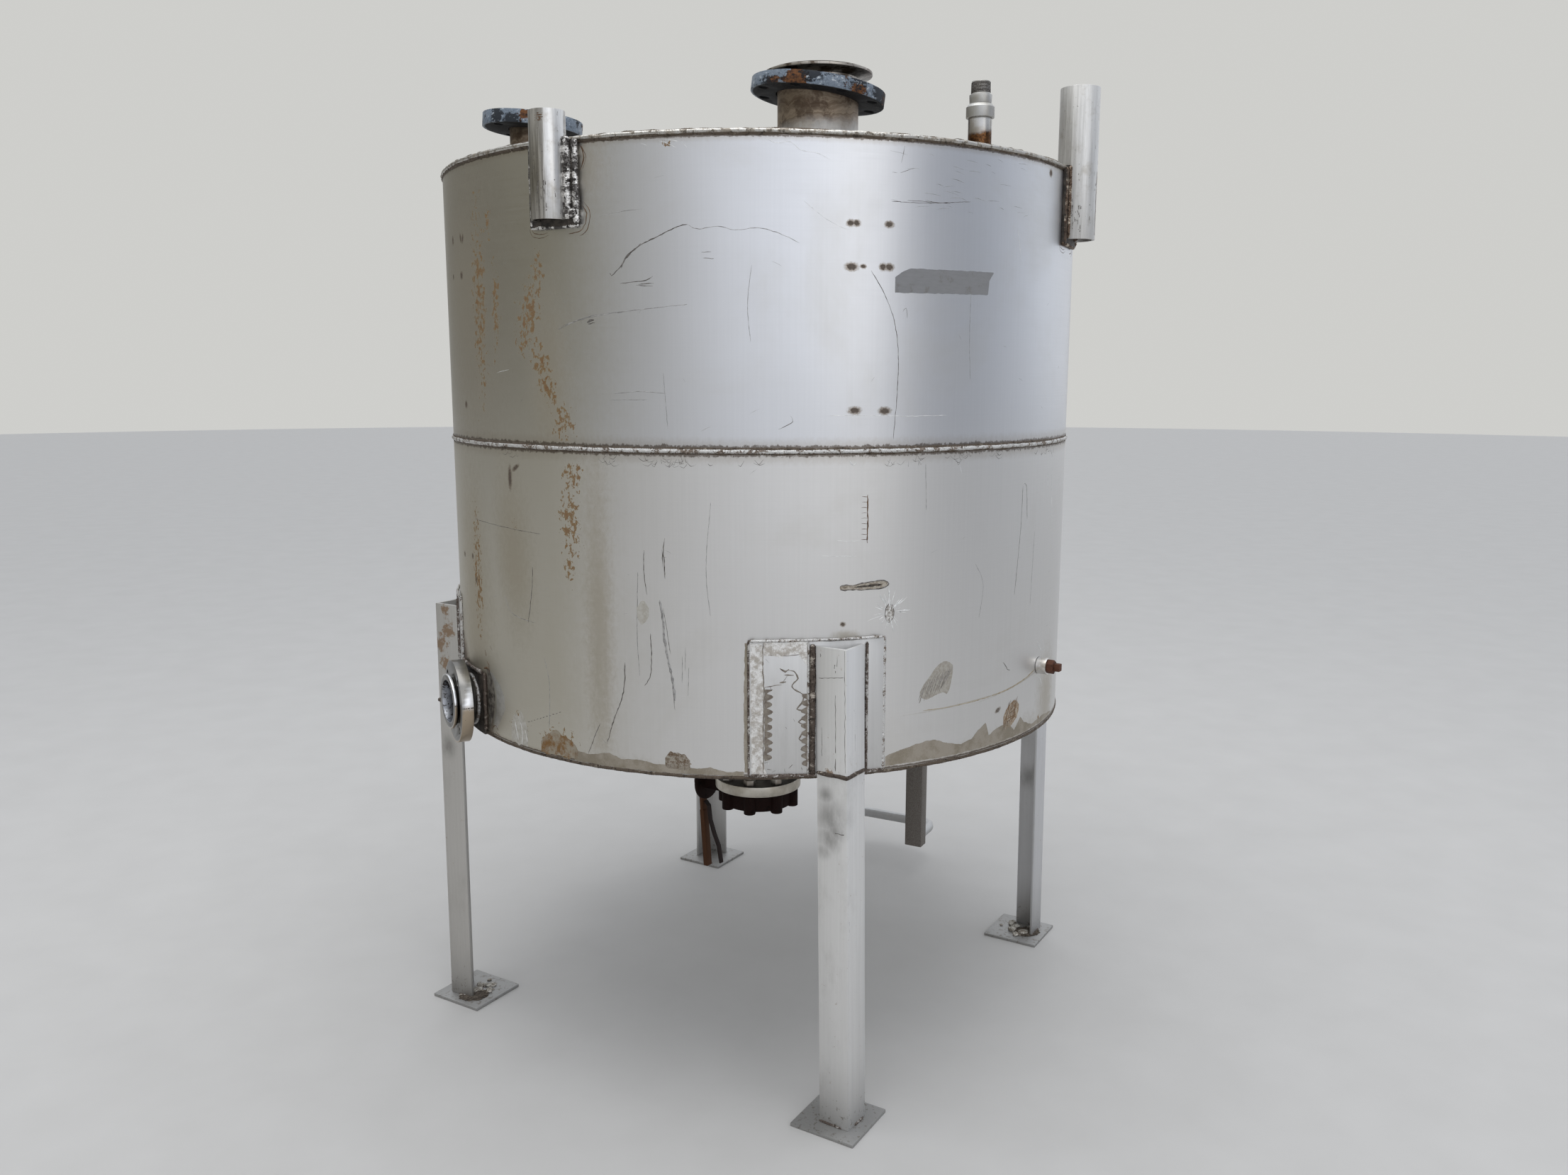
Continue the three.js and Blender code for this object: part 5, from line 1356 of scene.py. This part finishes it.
# -----------------------------------------------------------------------------
# Small roof nozzle at the left edge: a short stained pipe, welded into the roof, with an iron flange in
# chipped blue-grey paint pushed over its end.
dressed("edge_nozzle_pipe", 0.6, stained_metal("rusty_pipe_metal", 1.66, 1.900), "stained_pipe")
edge_paint = painted_iron(
    "edge_chipped_paint", edge_nozzle_place, 1.803, 0.09525,
    [(-476, -132, 1806, 20), (-462, -133, 1800, 16), (-400, 20, 1803, 50)],
    [(-505, -122, 1790, 26), (-530, -104, 1806, 22), (-384, -84, 1808, 16), (-540, 20, 1803, 40)],
)
dressed("edge_nozzle_flange", 1.8, edge_paint, "flange_paint")
ring_weld("edge_nozzle_weld", edge_nozzle_place, 0.001, 0.0455, 0.0035, scaly_weld, 62)

# -----------------------------------------------------------------------------
# Vent: a stainless nipple welded into the roof, rusty at its foot, with a screwed union on it and a threaded
# end left open.
nipple_look = turned_steel("vent_pipe_metal", (0.48, 0.47, 0.455), (0.30, 0.265, 0.22), 0.24, 1.752)
dressed("vent_nipple", 0.5, nipple_look, "stained_pipe")
vent_look = turned_steel("vent_union_metal", (0.50, 0.495, 0.48), (0.38, 0.36, 0.32), 0.42)
dressed("vent_union", 1.2, vent_look, "bright_stainless")
dressed("vent_threaded_end", 0.5, vent_look, "bright_stainless")


def pipe_thread(name, centre, radius, foot, top, pitch, finish):
    """The ridges of a pipe thread: a thin wire wound round the end, flush with its tip."""
    wire = bpy.data.curves.new(name, "CURVE")
    wire.dimensions, wire.bevel_depth, wire.bevel_resolution, wire.use_fill_caps = "3D", pitch * 0.42, 1, True
    steps = 24  # to a turn
    run = wire.splines.new("POLY")
    run.points.add(round((top - foot) / pitch * steps))
    for k, point in enumerate(run.points):
        turn = 2 * math.pi * k / steps
        grow = radius - 0.0005 * k / len(run.points)
        point.co = (
            centre.x + grow * math.cos(turn), centre.y + grow * math.sin(turn), foot + pitch * k / steps, 1
        )
    thread = bpy.data.objects.new(name, wire)
    scene.collection.objects.link(thread)
    only(thread)
    bpy.ops.object.convert(target="MESH")
    bpy.ops.object.shade_smooth()
    return flush(bpy.context.object, finish, "tank", "rusty_iron")


thread_look = weld_look("dark_thread", (0.30, 0.28, 0.26), (0.045, 0.032, 0.025), 0.62, 0.5)
pipe_thread("vent_thread", vent_place, 0.0166, 1.8175, 1.8365, 0.0023, thread_look)
ring_weld("vent_weld", vent_place, 0.0005, 0.0222, 0.0030, bright_weld, 63)

# -----------------------------------------------------------------------------
# Pipe sockets: two lengths of stainless pipe, coped over the roof's edge, each welded by hand to a curved
# plate below the rim, in lumpy beads left scorched. The pipes are scuffed and stained.
def socket_steel(name, middle, left_film_and_shade, roughness):
    """Bright pipe, streaked along its length, and darkened on its left, partly by a brown film and partly as
    painted shade.
    """
    look = Finish(name, metallic=1.0)
    x = look.parts(look.place)[0]
    streak = look.noise(look.stretched(look.place, (210, 210, 9)), 1.0, 5.0, 0.7)
    cloud = look.noise(look.place, 30.0, 5.0, 0.65)
    specks = look.noise(look.place, 260.0, 4.0, 0.7)
    colour = look.mix(look.between(streak, 0.32, 0.70), (0.60, 0.59, 0.57), (0.72, 0.715, 0.70))
    colour = look.mix(look.between(cloud, 0.5, 0.7), colour, (0.40, 0.365, 0.31), 0.5)
    # The left of the pipe is mixed towards grey-brown: a brown film there, and painted shade on that side.
    left = look.between(look.plus(x, look.scaled(streak, -0.008, 0.008)), middle - 0.002, middle - 0.012)
    dull = look.mix(look.between(streak, 0.40, 0.62), (0.17, 0.155, 0.13), (0.40, 0.375, 0.33))
    colour = look.mix(left, colour, dull, left_film_and_shade)
    colour = look.mix(look.between(specks, 0.66, 0.70), colour, (0.06, 0.045, 0.035), 0.85)
    return look.done(
        colour, look.scaled(streak, roughness, roughness + 0.2), None, look.bump(streak, 0.10, 0.0006)
    )


lumpy_weld = weld_look("lumpy_weld", (0.86, 0.84, 0.81), (0.020, 0.013, 0.010), 0.50, 0.24, grain=120.0)
rusty_weld = weld_look("rusty_weld", (0.60, 0.52, 0.42), (0.085, 0.045, 0.025), 0.54, 0.34, grain=130.0)
SOCKET_OUT = 0.649  # from the tank's axis to a socket's axis


def on_pipe(azimuth, radius):
    """Wraps a flat sheet round a pipe socket, with the middle of the sheet facing the front."""
    centre = polar(SOCKET_OUT, azimuth)
    return lambda x, y, z: centre + polar(radius + z + CLEARANCE, math.degrees(x / radius), y)


SOCKETS = [("left", -44.8, 0.03015, 0.8, 0.24), ("right", 53.0, 0.0365, 0.2, 0.40)]
for side, azimuth, radius, left_film_and_shade, roughness in SOCKETS:
    # The socket plate takes the near-black scorched look as painted shade.
    dressed("socket_plate_" + side, 0.7, scorch_and_shade_look, "dull_stainless")
    socket_look = socket_steel(f"socket_{side}_steel", polar(SOCKET_OUT, azimuth).x, left_film_and_shade, roughness)
    dressed("pipe_socket_" + side, 0.7, socket_look, "leg_stainless")
    metal = lumpy_weld if side == "left" else rusty_weld
    for k, (offset, size) in enumerate(((-4.2, 0.6), (4.35, 1.0))):
        name, wide, high = f"socket_plate_weld_{side}_{k}", 0.0062 * size, 0.0050 * size
        upright_weld(name, azimuth + offset, 0.6415, 1.570, 1.703, wide, high, metal, 70 + k)
    for k, (offset, size) in enumerate(((-3.0, 0.7), (3.0, 1.0))):
        name, wide, high = f"socket_pipe_weld_{side}_{k}", 0.0078 * size, 0.0062 * size
        upright_weld(name, azimuth + offset, 0.6440, 1.578, 1.708, wide, high, metal, 74 + k)
    under_plate = ring(0.6390, 1.568, azimuth - 4.6, azimuth + 4.6)
    weld_bead("socket_plate_foot_weld_" + side, under_plate, 0.0034, 0.0040, metal, 78)
    weld_bead(
        "socket_lump_" + side, ring(0.6450, 1.588, azimuth + 2.4, azimuth + 4.7), 0.0080, 0.0050, metal, 79
    )
    burrs("socket_heat_marks_" + side, shifted([
        (0.8, (5.0, 1600), (5.8, 1586), (5.3, 1566), (4.2, 1558), (2.4, 1556)),
        (0.6, (5.3, 1606), (6.4, 1586), (5.8, 1560), (4.4, 1551)),
        (1.3, (4.9, 1694), (5.4, 1686), (5.5, 1674), (5.2, 1662), (4.8, 1654)),
        (0.5, (5.2, 1692), (5.9, 1674), (5.3, 1656)),
        (0.7, (-5.0, 1572), (-4.6, 1562), (-3.0, 1558), (-1.6, 1560)),
        (0.5, (-5.4, 1568), (-4.8, 1556), (-3.0, 1552), (-1.4, 1556)),
    ], azimuth), rust_burr, 80)
    chance = random.Random(81)
    scuffs = []
    for count in range(44):
        low_left = count < 26
        around = chance.uniform(-44, -12) if low_left else chance.uniform(-60, 70)
        height = chance.uniform(1.588, 1.630) if low_left else chance.uniform(1.60, 1.74)
        lean, rise = chance.uniform(-2, 2), chance.uniform(0.002, 0.009)
        half = chance.uniform(0.0002, 0.00045)
        scuff = []
        for k, swell in enumerate((1, 2, 1.4, 1.7, 0.6)):
            turn = math.radians(around + lean * k / 4 + chance.uniform(-0.8, 0.8))
            scuff.append((turn * radius, height + rise * k / 4, half * swell))
        scuffs.append(scuff)
    burr_ribbon("socket_scuffs_" + side, scuffs, dark_burr, on_pipe(azimuth, radius))
    stain = [[
        (math.radians(50 + chance.uniform(-2, 2)) * radius, 1.585 + 0.006 * k, chance.uniform(0.0005, 0.0016))
        for k in range(20)
    ]]
    for k in range(7 if side == "left" else 0):
        height = 1.730 + 0.0016 * k + chance.uniform(-0.001, 0.001)
        stain.append([
            (math.radians(-38 + chance.uniform(-6, 6) + 9 * step) * radius, height, half)
            for step, half in enumerate((0.0003, 0.0011, 0.0004))
        ])
    burr_ribbon("socket_stain_" + side, stain, rust_burr, on_pipe(azimuth, radius))

# -----------------------------------------------------------------------------
# Drain: a stainless half coupling in the shell, closed by a bushing and a square-headed plug of rusty iron
# that are screwed into it.
def rusty_iron(name, deep, light, share=0.5):
    """Iron under rust, darker in its hollows."""
    look = Finish(name, metallic=0.25)
    big = look.noise(look.place, 60.0, 5.0, 0.7)
    fine = look.noise(look.place, 480.0, 4.0, 0.7)
    colour = look.mix(look.between(fine, 0.3, 0.75), deep, light)
    colour = look.mix(look.between(big, 1.05 - share, 1.2 - share), colour, toned(deep, 0.35))
    rough = look.scaled(fine, 0.6, 0.92)
    return look.done(colour, rough, None, look.bump(fine, 0.6, 0.0008, look.bump(big, 0.4, 0.0012)))


rust_look = rusty_iron("rusty_plug_iron", (0.055, 0.020, 0.012), (0.15, 0.055, 0.024))
dressed("drain_coupling", 0.6, bright_look, "bright_stainless")
dressed("drain_bushing", 0.8, rust_look, "rusty_iron")
dressed("drain_plug", 0.8, rust_look, "rusty_iron")

# -----------------------------------------------------------------------------
# Bottom outlet: a short pipe with a stainless flange, and under it a lug butterfly valve of rusty cast iron,
# held by eight bolts, with its stem to the back left.
# Painted shade: the valve's rusty iron is made near-black, with little gloss, as it lies in the shade under
# the tank.
valve_shade_look = rusty_iron("valve_iron_painted_shade", (0.006, 0.003, 0.0025), (0.022, 0.008, 0.006))
valve_shade_look.node_tree.nodes["Principled BSDF"].inputs["Specular IOR Level"].default_value = 0.15
outlet_look = turned_steel("outlet_flange_steel", (0.56, 0.53, 0.47), (0.36, 0.325, 0.265), 0.36)
# Painted shade: a darker copy of the flange's steel for its flat faces, which lie in shade under the tank.
outlet_face_shade_look = turned_steel("outlet_face_painted_shade", (0.12, 0.115, 0.105), (0.07, 0.063, 0.055), 0.5)
dressed("outlet_pipe", 0.5, outlet_look, "dull_stainless")
flange = dressed("outlet_flange", 1.5, outlet_look, "bright_stainless")
# The flat faces, top and bottom, take the painted-shade copy.
flange.data.materials.append(outlet_face_shade_look)
for face in flange.data.polygons:
    if abs(face.normal.z) > 0.9:
        face.material_index = 1
dressed("valve_body", 1.6, valve_shade_look, "rusty_iron")
dressed("valve_disc", 0.8, plate_look, "dull_stainless", body="valve_handle")
dressed("valve_stem", 0.6, valve_shade_look, "rusty_iron", body="valve_handle")


def bolt(name, centre, finish):
    """A stud end with its hexagon nut, upright on the centre."""
    stud_radius, across, thick = 0.0075, 0.0235, 0.0125
    nut = cylinder(name, 6, across / math.sqrt(3), 0, thick)
    modify(nut, "BEVEL", width=0.0011, segments=2)
    stud = cylinder(name + "_stud", 20, stud_radius, 0, thick + 0.006)
    modify(stud, "BEVEL", width=0.001, segments=1, limit_method="ANGLE")
    nut.select_set(True)
    bpy.context.view_layer.objects.active = nut
    bpy.ops.object.join()
    smooth(nut)
    nut.matrix_world = Matrix.Translation(centre) @ Matrix.Rotation(centre[0] * 40, 4, "Z")
    bpy.ops.object.transform_apply()
    return flush(nut, finish, "tank", "rusty_iron")


bolt_look = turned_steel("dull_bolt_steel", (0.42, 0.40, 0.37), (0.20, 0.17, 0.135), 0.42)
BOLT_CIRCLE, BOLT_FOOT = 0.077, 0.4461
for k in range(8):
    turn = math.radians(19 + 45 * k)
    place = (outlet_place.x + BOLT_CIRCLE * math.sin(turn), -BOLT_CIRCLE * math.cos(turn), BOLT_FOOT)
    bolt(f"outlet_bolt_{k + 1}", place, bolt_look)

# -----------------------------------------------------------------------------
# Lever: a flat steel handle on the stem, clamped over its squared end, with a sprung trigger behind the grip.
# The steel is bare and grey, and rusted brown along the grip.
lever_look = Finish("lever_steel", metallic=0.6)
lever_z = lever_look.parts(lever_look.place)[2]
lever_fine = lever_look.noise(lever_look.place, 420.0, 4.0, 0.7)
lever_big = lever_look.noise(lever_look.place, 45.0, 5.0, 0.7)
grip_share = lever_look.between(
    lever_look.plus(lever_z, lever_look.scaled(lever_big, -0.03, 0.03)), 0.385, 0.36
)
grip_rust = lever_look.mix(lever_fine, (0.038, 0.016, 0.008), (0.13, 0.052, 0.018))
lever_grey = lever_look.mix(lever_fine, (0.035, 0.030, 0.028), (0.14, 0.13, 0.125))
lever_colour = lever_look.mix(grip_share, lever_grey, grip_rust)
lever_bump = lever_look.bump(lever_fine, 0.5, 0.0007)
lever_look = lever_look.done(lever_colour, lever_look.scaled(lever_fine, 0.5, 0.85), None, lever_bump)
trigger_look = rusty_iron("trigger_iron", (0.008, 0.005, 0.0045), (0.032, 0.013, 0.009))
dressed("valve_lever", 1.0, lever_look, "rusty_iron", body="valve_handle")
dressed("lever_trigger", 0.8, trigger_look, "rusty_iron", body="trigger")

# -----------------------------------------------------------------------------
# Ladder at the back right: two stiles of dark steel angle, and six rungs of round bar, whose ends are bent
# back to reach the stiles.
ladder_look = rusty_iron("ladder_stile_steel", (0.11, 0.095, 0.08), (0.25, 0.23, 0.21), 0.35)
rung_look = leg_steel("ladder_rung_steel", (0.55, 0.55, 0.55), 0.5)
for side in ("left", "right"):
    dressed("ladder_stile_" + side, 1.0, ladder_look, "ladder_steel")
for k in range(1, 7):
    dressed(f"ladder_rung_{k}", 0.4, rung_look, "ladder_steel")
